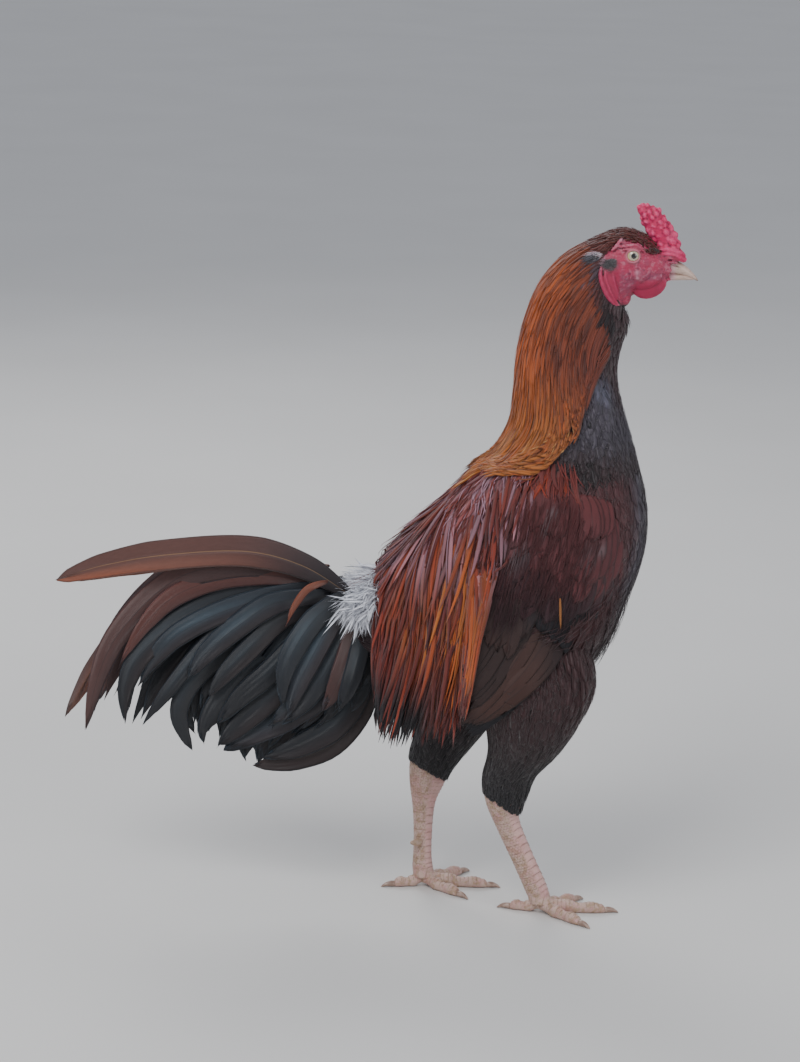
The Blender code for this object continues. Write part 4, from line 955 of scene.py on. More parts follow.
def bed_normal(bed, x, z, sign):
    """The direction out of the wing's bed at places seen from the side."""
    reach = 0.008
    slope_x = (bed(x + reach, z) - bed(x - reach, z)) / (2 * reach)
    slope_z = (bed(x, z + reach) - bed(x, z - reach)) / (2 * reach)
    return unit(np.stack([-slope_x, np.full_like(x, sign), -slope_z], -1))


def wing_inset(x, z):
    """0 at the wing's front edge, where it lies flush in the breast feathers, and 1 behind it."""
    return ramp(0.0, 0.026, np.interp(z, *WING_FRONT) - x)


def wing_tone(base, x, z):
    """The wing's paint where a feather lies: black-green at the bow's low edge, fluff in a few places."""
    base = painted(base, ("tar", 0.60 * ramp(0.306, 0.262, z) * ramp(0.040, 0.065, x)),
                   ("maroon", 0.16 * ramp(0.346, 0.380, z)), ("ash", 0.035 * ramp(0.255, 0.275, z)),
                   ("tar", 0.50 * ramp(0.200, 0.180, z)))
    return painted(base, *(("ash", 0.42 * np.exp(-((x - cx) ** 2 + (z - cz) ** 2) / spread ** 2))
                           for cx, cz, spread in WING_FLUFF))


def add_wing_barbs(coat, bed, sign):
    """Loose barbs over the coverts, and one small orange feather on the right wing."""
    count, steps = 900, 5
    x, z = several(count, -0.004, 0.110), several(count, 0.275, 0.392)
    keep = (z < np.interp(x, *COVERT_TOP)) & (z > np.interp(x, *COVERT_FLOOR))
    x, z = x[keep], z[keep]
    count = len(x)
    s = np.linspace(0, 1, steps + 1)
    long = several(count, 0.014, 0.026)[:, None]
    lean = several(count, -0.40, -0.05)[:, None]
    xx, zz = x[:, None] + lean * long * s, z[:, None] - long * s
    rise = np.interp(z, (0.262, 0.30, 0.34, 0.39), (0.0040, 0.0050, 0.0060, 0.0066))[:, None] \
        * (0.30 + 0.70 * wing_inset(xx, zz)) + 0.0004 + 0.0006 * s
    path = np.stack([xx, (bed(xx, zz) + rise) * sign, zz], -1)
    base = wing_tone(painted("dark_wine", ("wine", ramp(0.29, 0.33, z))), x, z) \
        * several(count, 0.85, 1.20)[:, None]
    home = np.stack([side_home(sign) + 1.7 * (x + 0.01), 0.5 + z], -1)
    coat.add(path, bed_normal(bed, xx, zz, sign), several(count, 0.0005, 0.0009), STRAND,
             base[:, None, None], home, ridge=0.2)
    if sign == SIDES["right"]:
        x, z = along_line(ORANGE_FEATHER, np.linspace(0, 1, 7))[None].transpose(2, 0, 1)
        path = np.stack([x, (bed(x, z) + 0.0062) * sign, z], -1)
        coat.add(path, bed_normal(bed, x, z, sign), np.array([0.0024]), LANCE,
                 mixed(PAINT["orange"], PAINT["straw"], 0.4) * 0.6, home[:1])


def make_wing(side, bed, material):
    """Long smooth coverts in rows over the secondaries and the tips of the primaries."""
    sign = SIDES[side]
    coat = Coat()
    for number, (roots, tips, count, width, low, high, one, other) in enumerate(WING_ROWS):
        steps, columns = (14, 11) if number < 4 else (12, 9)
        flight = number < 3
        share = ((np.arange(count) + several(count, -0.18, 0.18)) / (count - 1)).clip(0, 1)
        start, tip = along_line(roots, share), along_line(tips, share)
        if number > 3:
            tip += several((count, 2), -0.005, 0.005)
        s = np.linspace(0, 1, steps + 1)
        flat = start[:, None] + (tip - start)[:, None] * s[:, None]
        flat[..., 0] += 0.05 * np.linalg.norm(tip - start, axis=-1)[:, None] * np.sin(math.pi * s)
        x, z = flat[..., 0], flat[..., 1]
        rise = (low + (high - low) * s) * (0.30 + 0.70 * wing_inset(x, z)) \
            + several((count, 1), -0.0002, 0.0004)
        if number > 4:
            rise *= 0.25 + 0.75 * ramp(0.0, 0.45, s)
        rise[:, 0] -= 0.0015
        path = np.stack([x, (bed(x, z) + rise) * sign, z], -1)
        base = painted(one, (other, ramp(0.45, 0.75, share))) * several(count, 0.88, 1.14)[:, None]
        # The upper web is painted lighter, as light from above falls on it, and each feather darker towards
        # the root as shade where the rows overlap
        web = 0.5 + 0.5 * np.linspace(-1, 1, columns)[None, None] * sign
        tint = wing_tone(base[:, None] * (1.0 if flight else 1.38), x, z)[:, :, None]
        tint = tint * (0.86 + 0.14 * stations_of(steps) + 0.16 * web)[..., None]
        home = np.stack([side_home(sign) + 0.2 * share, np.full(count, 0.5 + 0.04 * number)], -1)
        coat.add(path, bed_normal(bed, x, z, sign), width * several(count, 0.92, 1.12),
                 BLADE if flight else ROUND, tint, home, columns,
                 ridge=0.03, droop=0.05, roll=-0.06 * sign, fringe=0.003 if flight else 0.007)
    add_wing_barbs(coat, bed, sign)
    coat.make(f"wing_feathers_{side}", material, [f"wing_{side}"], "wing_feather")


# Arches of the tail from the top down, seen from the side: x and z of root, bend and tip, and width
TAIL_ARCS = (
    (-0.132, 0.290, -0.300, 0.318, -0.334, 0.158, 0.024),
    (-0.132, 0.288, -0.252, 0.304, -0.316, 0.170, 0.024),
    (-0.134, 0.289, -0.252, 0.290, -0.300, 0.164, 0.024),
    (-0.133, 0.287, -0.240, 0.260, -0.276, 0.166, 0.025),
    (-0.131, 0.285, -0.248, 0.226, -0.243, 0.146, 0.026),
    (-0.129, 0.282, -0.222, 0.197, -0.228, 0.148, 0.027),
    (-0.126, 0.279, -0.205, 0.172, -0.196, 0.126, 0.029),
    (-0.119, 0.275, -0.176, 0.162, -0.182, 0.127, 0.030),
    (-0.110, 0.270, -0.126, 0.174, -0.180, 0.139, 0.032),
    (-0.103, 0.262, -0.103, 0.182, -0.148, 0.146, 0.029),
    (-0.100, 0.252, -0.092, 0.197, -0.116, 0.165, 0.026),
)

# Layers of the tail: feathers, share of the arch, how far out at the root and at the tip, share of the width
TAIL_LAYERS = (
    (13, 1.00, 0.0030, 0.009, 0.95),
    (12, 0.95, 0.0070, 0.015, 0.86),
    (11, 0.86, 0.0105, 0.019, 0.80),
    (10, 0.70, 0.0135, 0.021, 0.74),
)

# The tail's long lines one by one, seen from the side: x z points, width, how far out at root and tip, paint
TAIL_TOP = (
    (((-0.1320, 0.2905), (-0.1805, 0.3005), (-0.2170, 0.3007), (-0.2501, 0.2930), (-0.2765, 0.2750),
      (-0.2996, 0.2503), (-0.3162, 0.2256), (-0.3278, 0.1939), (-0.3367, 0.1534)), 0.0190, 0.010, 0.024,
     "tail_brown"),
    (((-0.1320, 0.2880), (-0.1800, 0.2930), (-0.2200, 0.2900), (-0.2600, 0.2740), (-0.2860, 0.2480),
      (-0.3050, 0.2160)), 0.0150, 0.012, 0.026, "ember_brown"),
    (((-0.1280, 0.2850), (-0.1600, 0.2820), (-0.2166, 0.2715), (-0.2596, 0.2496), (-0.2894, 0.2211),
      (-0.3020, 0.1911), (-0.3025, 0.1613)), 0.0175, 0.013, 0.027, "tail_black"),
    (((-0.1300, 0.2840), (-0.1700, 0.2770), (-0.2198, 0.2611), (-0.2562, 0.2411), (-0.2761, 0.2197),
      (-0.2909, 0.1949)), 0.0160, 0.015, 0.028, "tail_blue"),
    (((-0.1300, 0.2800), (-0.1667, 0.2729), (-0.2064, 0.2545), (-0.2328, 0.2313), (-0.2559, 0.2029),
      (-0.2724, 0.1797), (-0.2857, 0.1600)), 0.0120, 0.016, 0.029, "tail_black"),
    (((-0.1250, 0.2760), (-0.1664, 0.2504), (-0.2160, 0.2248), (-0.2458, 0.1961), (-0.2556, 0.1714),
      (-0.2504, 0.1505), (-0.2425, 0.1348)), 0.0140, 0.013, 0.025, "tail_black"),
    (((-0.1240, 0.2700), (-0.1594, 0.2333), (-0.1991, 0.2079), (-0.2221, 0.1793), (-0.2320, 0.1580),
      (-0.2335, 0.1439)), 0.0160, 0.014, 0.026, "tail_black"),
    (((-0.1280, 0.2780), (-0.1734, 0.2710), (-0.2063, 0.2493), (-0.2327, 0.2244), (-0.2491, 0.1995)),
     0.0165, 0.018, 0.030, "tail_blue"),
    (((-0.1260, 0.2760), (-0.1665, 0.2573), (-0.1928, 0.2324), (-0.2158, 0.2074), (-0.2322, 0.1825)),
     0.0150, 0.019, 0.031, "tail_black"),
    (((-0.1220, 0.2720), (-0.1528, 0.2369), (-0.1790, 0.2084), (-0.2021, 0.1869), (-0.2219, 0.1618)),
     0.0165, 0.018, 0.030, "tail_black"),
    (((-0.1180, 0.2680), (-0.1457, 0.2163), (-0.1786, 0.1840), (-0.2051, 0.1587), (-0.2217, 0.1407)),
     0.0175, 0.016, 0.028, "tail_black"),
    (((-0.1100, 0.2600), (-0.1254, 0.1994), (-0.1583, 0.1706), (-0.1916, 0.1521), (-0.2149, 0.1391)),
     0.0185, 0.014, 0.026, "tail_blue"),
    (((-0.1050, 0.2500), (-0.1000, 0.2000), (-0.1179, 0.1640), (-0.1511, 0.1426), (-0.1845, 0.1311)),
     0.0190, 0.013, 0.025, "tail_black"),
    (((-0.1020, 0.2450), (-0.0960, 0.1900), (-0.1182, 0.1494), (-0.1535, 0.1308), (-0.1891, 0.1240)),
     0.0200, 0.010, 0.022, "quill"),
    (((-0.1160, 0.2740), (-0.1290, 0.2500), (-0.1400, 0.2150), (-0.1560, 0.1850), (-0.1800, 0.1620)),
     0.0170, 0.021, 0.032, "tail_blue"),
    (((-0.1070, 0.2700), (-0.1162, 0.2414), (-0.1290, 0.2133), (-0.1452, 0.1884), (-0.1650, 0.1669)),
     0.0170, 0.023, 0.034, "tail_black"),
    (((-0.1119, 0.2760), (-0.1265, 0.2550), (-0.1393, 0.2304), (-0.1522, 0.2022), (-0.1617, 0.1740)),
     0.0160, 0.026, 0.036, "tail_blue"),
    (((-0.1154, 0.2811), (-0.1366, 0.2633), (-0.1529, 0.2404), (-0.1640, 0.2140), (-0.1663, 0.1843)),
     0.0165, 0.028, 0.039, "tail_blue"),
    (((-0.1030, 0.2640), (-0.1090, 0.2350), (-0.1180, 0.2060), (-0.1300, 0.1800)), 0.0150, 0.026, 0.036,
     "tail_brown"),
    (((-0.0980, 0.2560), (-0.1010, 0.2300), (-0.1080, 0.2030), (-0.1180, 0.1780)), 0.0140, 0.028, 0.037,
     "tail_black"),
    (((-0.1290, 0.2930), (-0.1454, 0.2872), (-0.1561, 0.2731), (-0.1644, 0.2546)), 0.0052, 0.027, 0.040,
     "tail_rust"),
)


def tail_arc(place, reach, steps):
    """Arches seen from the side at each place in the table, run over a share of their length."""
    rows = spline(np.array(TAIL_ARCS), place)
    s = (np.linspace(0, 1, steps + 1) * reach[:, None])[..., None]
    root, bend, tip = rows[:, None, 0:2], rows[:, None, 2:4], rows[:, None, 4:6]
    flat = root * (1 - s) ** 2 + 2 * bend * s * (1 - s) + tip * s ** 2
    return flat, rows[:, 6]


def tail_normal(sign, path):
    """The way a tail feather's flat side faces: out, and a little up."""
    return unit(np.broadcast_to((0.0, sign, 0.22), path.shape))


def tail_home(count, sign, row):
    """Places of a row of tail feathers on the unwrap."""
    return np.stack([np.linspace(0, 0.18, count) + side_home(sign), np.full(count, 0.92 + 0.02 * row)], -1)


def tail_tint(paints, steps, columns, sheen, sign):
    """Black, blue-black or brown vanes, some with a painted soft blue sheen along part of the upper web."""
    number = len(paints)
    s = stations_of(steps)
    up = np.linspace(-1, 1, columns)[None, None] * sign
    base = np.array([PAINT[name] for name in paints])[:, None, None]
    black = np.isin(paints, ("tail_black", "tail_blue"))[:, None, None]
    lit = np.where(np.isin(paints, ("tail_blue",)), 1.0, 0.35)[:, None, None]
    place = several((number, 1, 1), 0.30, 0.62)
    # Where the painted teal sheen lies: part of the upper web, strongest on the blue-black feathers
    blue = np.exp(-((s - place) / 0.20) ** 2) * np.exp(-((up - 0.25) / 0.42) ** 2) * sheen * lit
    browned = RNG.random((number, 1, 1)) < 0.3
    # The lower web is also painted darker here, as shade
    base = painted(base, ("tail_teal_sheen", blue * black),
                   (PAINT["tail_brown"] * 0.7, 0.35 * black * ramp(-0.3, 0.8, -up) * browned + 0 * s),
                   (PAINT["tar"] * 0.8, 0.40 * ramp(0.70, 1.0, s) * black + 0.35 * ramp(0.1, -0.9, up)),
                   ("tar", 0.6 * (1 - ramp(0.0, 0.24, s)) + 0 * up))
    # The upper web is painted lighter, as light from above falls on it, over a random brightness per feather
    light = several((number, 1, 1), 0.82, 1.2) * (0.92 + 0.30 * ramp(0.55, 0.95, up))
    return base * light[..., None]


def make_tail(side, material):
    """The long drooping feathers of one side: dark layers below, and the long lines on top one by one."""
    sign = SIDES[side]
    coat = Coat()
    steps, columns, last = 24, 11, len(TAIL_ARCS) - 1
    s = np.linspace(0, 1, steps + 1)
    for layer, (count, share, near, far, broad) in enumerate(TAIL_LAYERS):
        place = (np.linspace(0.4, last, count) + several(count, -0.25, 0.25)).clip(0, last)
        flat, widths = tail_arc(place, share * several(count, 0.90, 1.03), steps)
        flat = flat + several((count, 1, 2), -0.003, 0.003)
        tuck = 0.5 + 0.5 * ramp(0, 6, place)[:, None]
        y = (near + (far - near) * s + several((count, 1), -0.0012, 0.0012)) * tuck
        path = np.stack([flat[..., 0], y * sign, flat[..., 1]], -1)
        paints = np.where(place < 1.2, "tail_brown",
                          np.where(RNG.random(count) < 0.25, "tail_blue", "tail_black"))
        coat.add(path, tail_normal(sign, path), widths * broad * several(count, 0.9, 1.1), SABRE,
                 tail_tint(paints, steps, columns, 0.5, sign), tail_home(count, sign, layer), columns,
                 ridge=0.02, droop=0.04, roll=several(count, -0.06, 0.10) * sign, fringe=0.018)
    for number, (points, width, near, far, paint) in enumerate(TAIL_TOP):
        jitter = 0.0 if side == "right" else 1.0
        flat = spline(np.array(points), s * (len(points) - 1))[None]
        flat = flat + jitter * several((1, 1, 2), -0.004, 0.004) * s[:, None]
        wave = 0.0010 * np.sin(s * RNG.uniform(5, 9) + RNG.uniform(0, 6))
        y = (near + (far - near) * s * (1 - 0.35 * s) + wave) * sign
        path = np.stack([flat[..., 0], np.broadcast_to(y, flat.shape[:2]), flat[..., 1]], -1)
        coat.add(path, tail_normal(sign, path), np.array([width * 1.28]), SABRE,
                 tail_tint([paint], steps, columns, 1.0, sign),
                 tail_home(1, sign, 4) + 0.004 * number, columns,
                 ridge=0.02, droop=0.04, roll=several(1, -0.05, 0.08) * sign, fringe=0.011)
    coat.make(f"tail_feathers_{side}", material, ["tail"] if side == "right" else (), "tail_feather")


# Lines of the great sickles: x, z
SICKLES = {
    "right": ((-0.110, 0.279), (-0.150, 0.304), (-0.200, 0.3165), (-0.268, 0.3120), (-0.320, 0.3020),
              (-0.3575, 0.2900)),
    "left": ((-0.110, 0.274), (-0.185, 0.288), (-0.247, 0.277), (-0.298, 0.240), (-0.334, 0.194),
             (-0.358, 0.148)),
}

# How far to the side the sickles start and end, and how much of their width their outer half keeps
SICKLE_SPREAD = {"right": (-0.0195, -0.030), "left": (0.0205, 0.040)}
SICKLE_SLIM = {"right": 1.0, "left": 0.72}


def make_sickles(material):
    """The two great sickles, brown with a thin shaft, a redder lower web and a torn tip."""
    steps, columns = 48, 13
    s = np.linspace(0, 1, steps + 1)
    ss = s[None, :, None]
    for side, sign in SIDES.items():
        flat = spline(np.array(SICKLES[side]), s * (len(SICKLES[side]) - 1))
        near, far = SICKLE_SPREAD[side]
        slim = SICKLE_SLIM[side]
        path = np.stack([flat[:, 0], near + (far - near) * s, flat[:, 1]], -1)[None]
        normal = unit(np.broadcast_to((0.0, sign, 0.15), path.shape))
        profile = ((0.0, 0.30), (0.15, 0.75), (0.35, 1.0), (0.65, 0.96 * slim), (0.82, 0.74 * slim),
                   (0.94, 0.40 * slim), (1.0, 0.06))
        down = np.linspace(-1, 1, columns)[None, None] * -sign
        tint = painted("tail_brown",
                       ("sickle", ramp(0.20, 0.60, ss) * (0.30 + 0.70 * ramp(-0.1, 0.7, down))),
                       ("rust", 0.30 * ramp(0.55, 0.85, ss) * ramp(0.2, 0.9, down)),
                       ("tail_black", (1 - ramp(0.08, 0.42, ss)) * 0.85 + 0 * down))
        coat = Coat()
        coat.add(path, normal, np.array([0.0275]), profile, tint, tail_home(1, sign, 5), columns,
                 ridge=0.03, droop=0.08, fringe=0.020)
        inner = path + np.array((0.0, -0.0016 * sign, -0.0085)) * ramp(0.25, 0.7, s)[None, :, None]
        part = slice(6, 44)
        coat.add(inner[:, part], normal[:, part], np.array([0.0150]), SABRE, tint[:, part] * 0.82,
                 tail_home(1, sign, 6), columns, ridge=0.03, droop=0.10, fringe=0.020)
        coat.make(f"great_sickle_{side}", material, [f"sickle_{side}"], "tail_feather")


def make_down(material):
    """White and grey down in a soft tuft on each side of the tail root."""
    coat = Coat()
    draws, steps = 3900, 5
    s = stations_of(steps)
    for sign in SIDES.values():
        t, angle = several(draws, 17.8, 20.2), np.radians(several(draws, 4, 62)) * sign
        root, normal = body(t, angle), outward(body, t, angle)
        keep = np.hypot((root[:, 0] + 0.0965) / 0.0150, (root[:, 2] - 0.2880) / 0.0190) < 1.0
        t, angle, root, normal = t[keep], angle[keep], root[keep], normal[keep]
        count = len(t)
        way = unit(np.stack([several(count, -0.8, 0.0), sign * several(count, 0.1, 0.6),
                             several(count, -1.2, 0.1)], -1))
        length = several(count, 0.008, 0.020)[:, None, None]
        curl = several((count, 1, 3), -1, 1) * 0.60
        path = root[:, None] + (way[:, None] * s + normal[:, None] * (0.75 * s - 0.35 * s ** 2)
                                + curl * s * s + np.array((0, 0, -0.40)) * s * s) * length
        tone = painted("down", ("ash", RNG.random(count) ** 3 * 0.35))[:, None, None]
        ups = np.repeat(normal[:, None], steps + 1, 1)
        home = home_of(t, angle)
        coat.add(path, ups, several(count, 0.0003, 0.0007), STRAND, tone, home, ridge=0.5)
        soft = slice(0, count, 4)
        coat.add(path[soft], ups[soft], several(len(t[soft]), 0.0012, 0.0026), ROUND,
                 0.95 * tone[soft], home[soft], 5, ridge=0.2, droop=0.3, fringe=0.005)
    coat.make("tail_down", material, (), "body_feather")


# Fluff round the ears and before the eyes: count, centre, spread in x and z, length, width, the two paints
# between which each one lies, their brightness, and the way they lean
EAR_TUFTS = (
    (520, (0.1032, 0.0204, 0.5716), (0.0052, 0.0048), 0.0042, 0.00028, ("shadow", "ash"), 0.80,
     (-0.80, 0.45, -0.35)),
    (130, (0.0972, 0.0196, 0.5712), (0.0030, 0.0050), 0.0052, 0.00028, ("pale_skin", "ash"), 0.80,
     (-0.90, 0.35, -0.1)),
    (150, (0.0915, 0.0186, 0.5785), (0.0040, 0.0028), 0.0062, 0.00034, ("down", "pale_skin"), 0.85,
     (-0.90, 0.30, 0.0)),
    (90, (0.0885, 0.0202, 0.5750), (0.0040, 0.0060), 0.0072, 0.00060, ("slate", "shadow"), 0.60,
     (-0.92, 0.22, -0.30)),
    (70, (0.1370, 0.0130, 0.5745), (0.0100, 0.0060), 0.0026, 0.00014, ("shadow", "crown"), 0.80,
     (-0.80, 0.42, 0.1)),
    (220, (0.1370, 0.0128, 0.5825), (0.0056, 0.0030), 0.0034, 0.00030, ("crown", "shadow"), 0.70,
     (-0.85, 0.35, -0.2)),
)


def make_ear_tufts(mats):
    """Soft dark bristles over the ears, a little pale fluff and dark plumes behind them."""
    coat = Coat()
    s = stations_of(4)
    for sign in SIDES.values():
        for count, centre, spread, long, wide, (one, other), bright, way in EAR_TUFTS:
            turn, out = several(count, 0, math.tau), np.sqrt(RNG.random(count))
            root = np.stack([centre[0] + np.cos(turn) * out * spread[0], np.full(count, centre[1] * sign),
                             centre[2] + np.sin(turn) * out * spread[1]], -1)
            lean = unit(np.array(way) * (1, sign, 1) + several((count, 3), -0.40, 0.40))
            length = several(count, 0.5, 1.2)[:, None, None] * long
            path = root[:, None] + (lean[:, None] * s
                                    + np.array((-0.55, -0.25 * sign, -0.25)) * s * s) * length
            normal = np.broadcast_to((0.0, sign, 0.0), path.shape)
            tone = painted(one, (other, RNG.random(count))) * bright * several(count, 0.6, 1.3)[:, None]
            home = np.stack([0.3 + root[:, 0], 0.2 + root[:, 2] * 0.1], -1)
            coat.add(path, normal, wide * several(count, 0.6, 1.3), STRAND, tone[:, None, None], home,
                     ridge=0.5)
    coat.make("ear_tufts", mats["down"], ["ear_left", "ear_right"], "body_feather")


def make_coats(mats):
    """All feathers of neck, body, wings and tail, each region as a piece of its own."""
    coats = {name: Coat() for name in ("crown", "hackle", "throat", "breast", "fluff", "back", "saddle")}
    add_crown(coats["crown"])
    add_hackle(coats["hackle"])
    add_throat(coats["throat"])
    add_breast(coats["breast"], coats["fluff"])
    add_back(coats["back"])
    for name, title, material, slot in (
            ("crown", "crown_feathers", "lance", "hackle"),
            ("hackle", "hackle_feathers", "lance", "hackle"),
            ("throat", "throat_feathers", "contour", "hackle"),
            ("breast", "breast_feathers", "contour", "body_feather"),
            ("fluff", "breast_barbs", "contour", "body_feather"),
            ("back", "back_feathers", "lance", "body_feather")):
        coats[name].make(title, mats[material], (), slot)
    legs = [guide_mesh(leg(side), 0.0, SHANK_START, 40, 40, 0.003) for side in SIDES]
    core, raised = (guide_mesh(body, TRUNK_START, BODY_END, 90, 80, lift) for lift in (0.0, 0.001))
    both = [([(x, y * sign, z) for x, y, z in points], faces) for points, faces in legs for sign in (-1, 1)]
    bed = WingBed(guide_tree([raised, *both]))
    for side in SIDES:
        make_wing(side, bed, mats["vane"])
        thigh = Coat()
        add_thigh(thigh, side)
        thigh.make(f"thigh_feathers_{side}", mats["contour"], (), "body_feather")
        make_tail(side, mats["tail"])
    add_saddle(coats["saddle"], guide_tree([core, *legs]), bed)
    coats["saddle"].make("saddle_feathers", mats["lance"], (), "body_feather")
    make_sickles(mats["sickle"])
    make_down(mats["down"])


def node(tree, kind, inputs, **settings):
    """A shader node of a kind, with its settings, and its inputs set to values or linked to sockets."""
    made = tree.nodes.new("ShaderNode" + kind)
    for name, value in settings.items():
        setattr(made, name, value)
    fill(tree, made, inputs)
    return made


def fill(tree, made, inputs):
    """Sets a node's inputs to values, or links sockets to them."""
    for key, value in inputs.items():
        if isinstance(value, bpy.types.NodeSocket):
            tree.links.new(value, made.inputs[key])
        else:
            made.inputs[key].default_value = value


def new_group(name, inputs, outputs):
    """An empty shader node group with named inputs and outputs."""
    group = bpy.data.node_groups.new(name, "ShaderNodeTree")
    for socket, kind, value in inputs:
        made = group.interface.new_socket(socket, in_out="INPUT", socket_type=kind)
        if value is not None:
            made.default_value = value
    for socket in outputs:
        group.interface.new_socket(socket, in_out="OUTPUT", socket_type="NodeSocketFloat")
    return group, group.nodes.new("NodeGroupInput").outputs, group.nodes.new("NodeGroupOutput")


def maths(tree, operation, *values, clamp=False):
    """The output of a Math node on sockets or numbers."""
    return node(tree, "Math", dict(enumerate(values)), operation=operation, use_clamp=clamp).outputs[0]


def barb_group():
    """Fine barbs that slant from the shaft to the edge, with splits between them."""
    group, source, target = new_group(
        "Barbs",
        (("Map", "NodeSocketVector", None), ("Barbs per Metre", "NodeSocketFloat", 1800.0),
         ("Slant", "NodeSocketFloat", 0.35), ("Depth", "NodeSocketFloat", 0.35),
         ("Thinness", "NodeSocketFloat", 22.0)),
        ("Shade", "Height", "Shaft"))
    split = node(group, "SeparateXYZ", {0: source["Map"]})
    aside = maths(group, "ABSOLUTE", maths(group, "SUBTRACT", split.outputs[0], 0.5))
    metres = maths(group, "MULTIPLY", split.outputs[1], 1 / MAP_PER_METRE)
    slanted = maths(group, "MULTIPLY", maths(group, "MULTIPLY", aside, source["Slant"]), 0.02)
    phase = maths(group, "MULTIPLY", maths(group, "SUBTRACT", metres, slanted), source["Barbs per Metre"])
    wave = maths(group, "SINE", maths(group, "MULTIPLY", phase, 6.283))
    rough = node(group, "TexNoise", {"Scale": 14.0, "Detail": 4.0, "Vector": source["Map"]}).outputs["Fac"]
    mess = maths(group, "ADD", maths(group, "MULTIPLY", wave, 0.3), maths(group, "MULTIPLY", rough, 1.2))
    depth = maths(group, "MULTIPLY", maths(group, "SUBTRACT", mess, 0.6), source["Depth"])
    shaft = maths(group, "SUBTRACT", 1.0, maths(group, "MULTIPLY", aside, source["Thinness"]), clamp=True)
    fill(group, target, {"Shade": maths(group, "ADD", depth, 1.0), "Height": wave, "Shaft": shaft})
    return group


def blotch_group():
    """Two sizes of soft blotches on Object coordinates."""
    group, source, target = new_group(
        "Blotches", (("Large", "NodeSocketFloat", 60.0), ("Small", "NodeSocketFloat", 600.0)),
        ("Broad", "Fine"))
    place = node(group, "TexCoord", {}).outputs["Object"]
    for size, name in (("Large", "Broad"), ("Small", "Fine")):
        cloud = node(group, "TexNoise", {"Detail": 5.0, "Vector": place, "Scale": source[size]})
        fill(group, target, {name: cloud.outputs["Fac"]})
    return group


def new_material(name):
    """An empty material, its node tree and its shader."""
    mat = bpy.data.materials.new(name)
    mat.use_nodes = True
    return mat, mat.node_tree, mat.node_tree.nodes["Principled BSDF"]


def tinted(tree):
    """The tint that the mesh carries."""
    return node(tree, "Attribute", {}, attribute_name="tint").outputs["Color"]


def scaled(tree, colour, factor):
    """A colour made lighter or darker by a factor that changes over the surface."""
    return node(tree, "VectorMath", {0: colour, "Scale": factor}, operation="SCALE").outputs[0]


def mix_colour(tree, one, other, share):
    """A colour between two, by a mask."""
    return node(tree, "Mix", {"Factor": share, 6: one, 7: other}, data_type="RGBA").outputs[2]


def bumped(tree, height, strength, distance):
    """A surface's direction, raised and sunk by a height."""
    return node(tree, "Bump", {"Strength": strength, "Distance": distance, "Height": height}).outputs[0]


def feather_material(name, barbs, values, shaft, shaft_share, depth=0.35, slant=0.35, thinness=22.0):
    """A feather's web: the mesh's tint with barbs, a shaft line and a soft sheen."""
    mat, tree, shader = new_material(name)
    place = node(tree, "UVMap", {}, uv_map="feather").outputs[0]
    lines = node(tree, "Group", {}, node_tree=barbs)
    fill(tree, lines, {"Thinness": thinness, "Slant": slant, "Depth": depth, "Map": place})
    web = scaled(tree, tinted(tree), lines.outputs["Shade"])
    along = maths(tree, "MULTIPLY", lines.outputs["Shaft"], shaft_share)
    fill(tree, shader, {"Base Color": mix_colour(tree, web, (*PAINT[shaft], 1.0), along),
                        "Normal": bumped(tree, lines.outputs["Height"], 0.35, 0.0003), **values})
    return mat


def skin_material(name, blotches, values, large, small, depth, distance):
    """Bare skin: the mesh's tint, mottled, with fine grain."""
    mat, tree, shader = new_material(name)
    cloud = node(tree, "Group", {}, node_tree=blotches)
    fill(tree, cloud, {"Large": large, "Small": small})
    mottle = maths(tree, "ADD", *(maths(tree, "MULTIPLY", cloud.outputs[size], depth)
                                  for size in ("Broad", "Fine")))
    fill(tree, shader, {"Base Color": scaled(tree, tinted(tree), maths(tree, "ADD", mottle, 1.0 - depth)),
                        "Normal": bumped(tree, cloud.outputs["Fine"], 0.6, distance), **values})
    return mat


def eye_material():
    """The eye's own tint under a wet clear front."""
    mat, tree, shader = new_material("eye")
    fill(tree, shader, {"Base Color": tinted(tree), "Roughness": 0.08, "Coat Weight": 1.0,
                        "Coat Roughness": 0.03})
    return mat


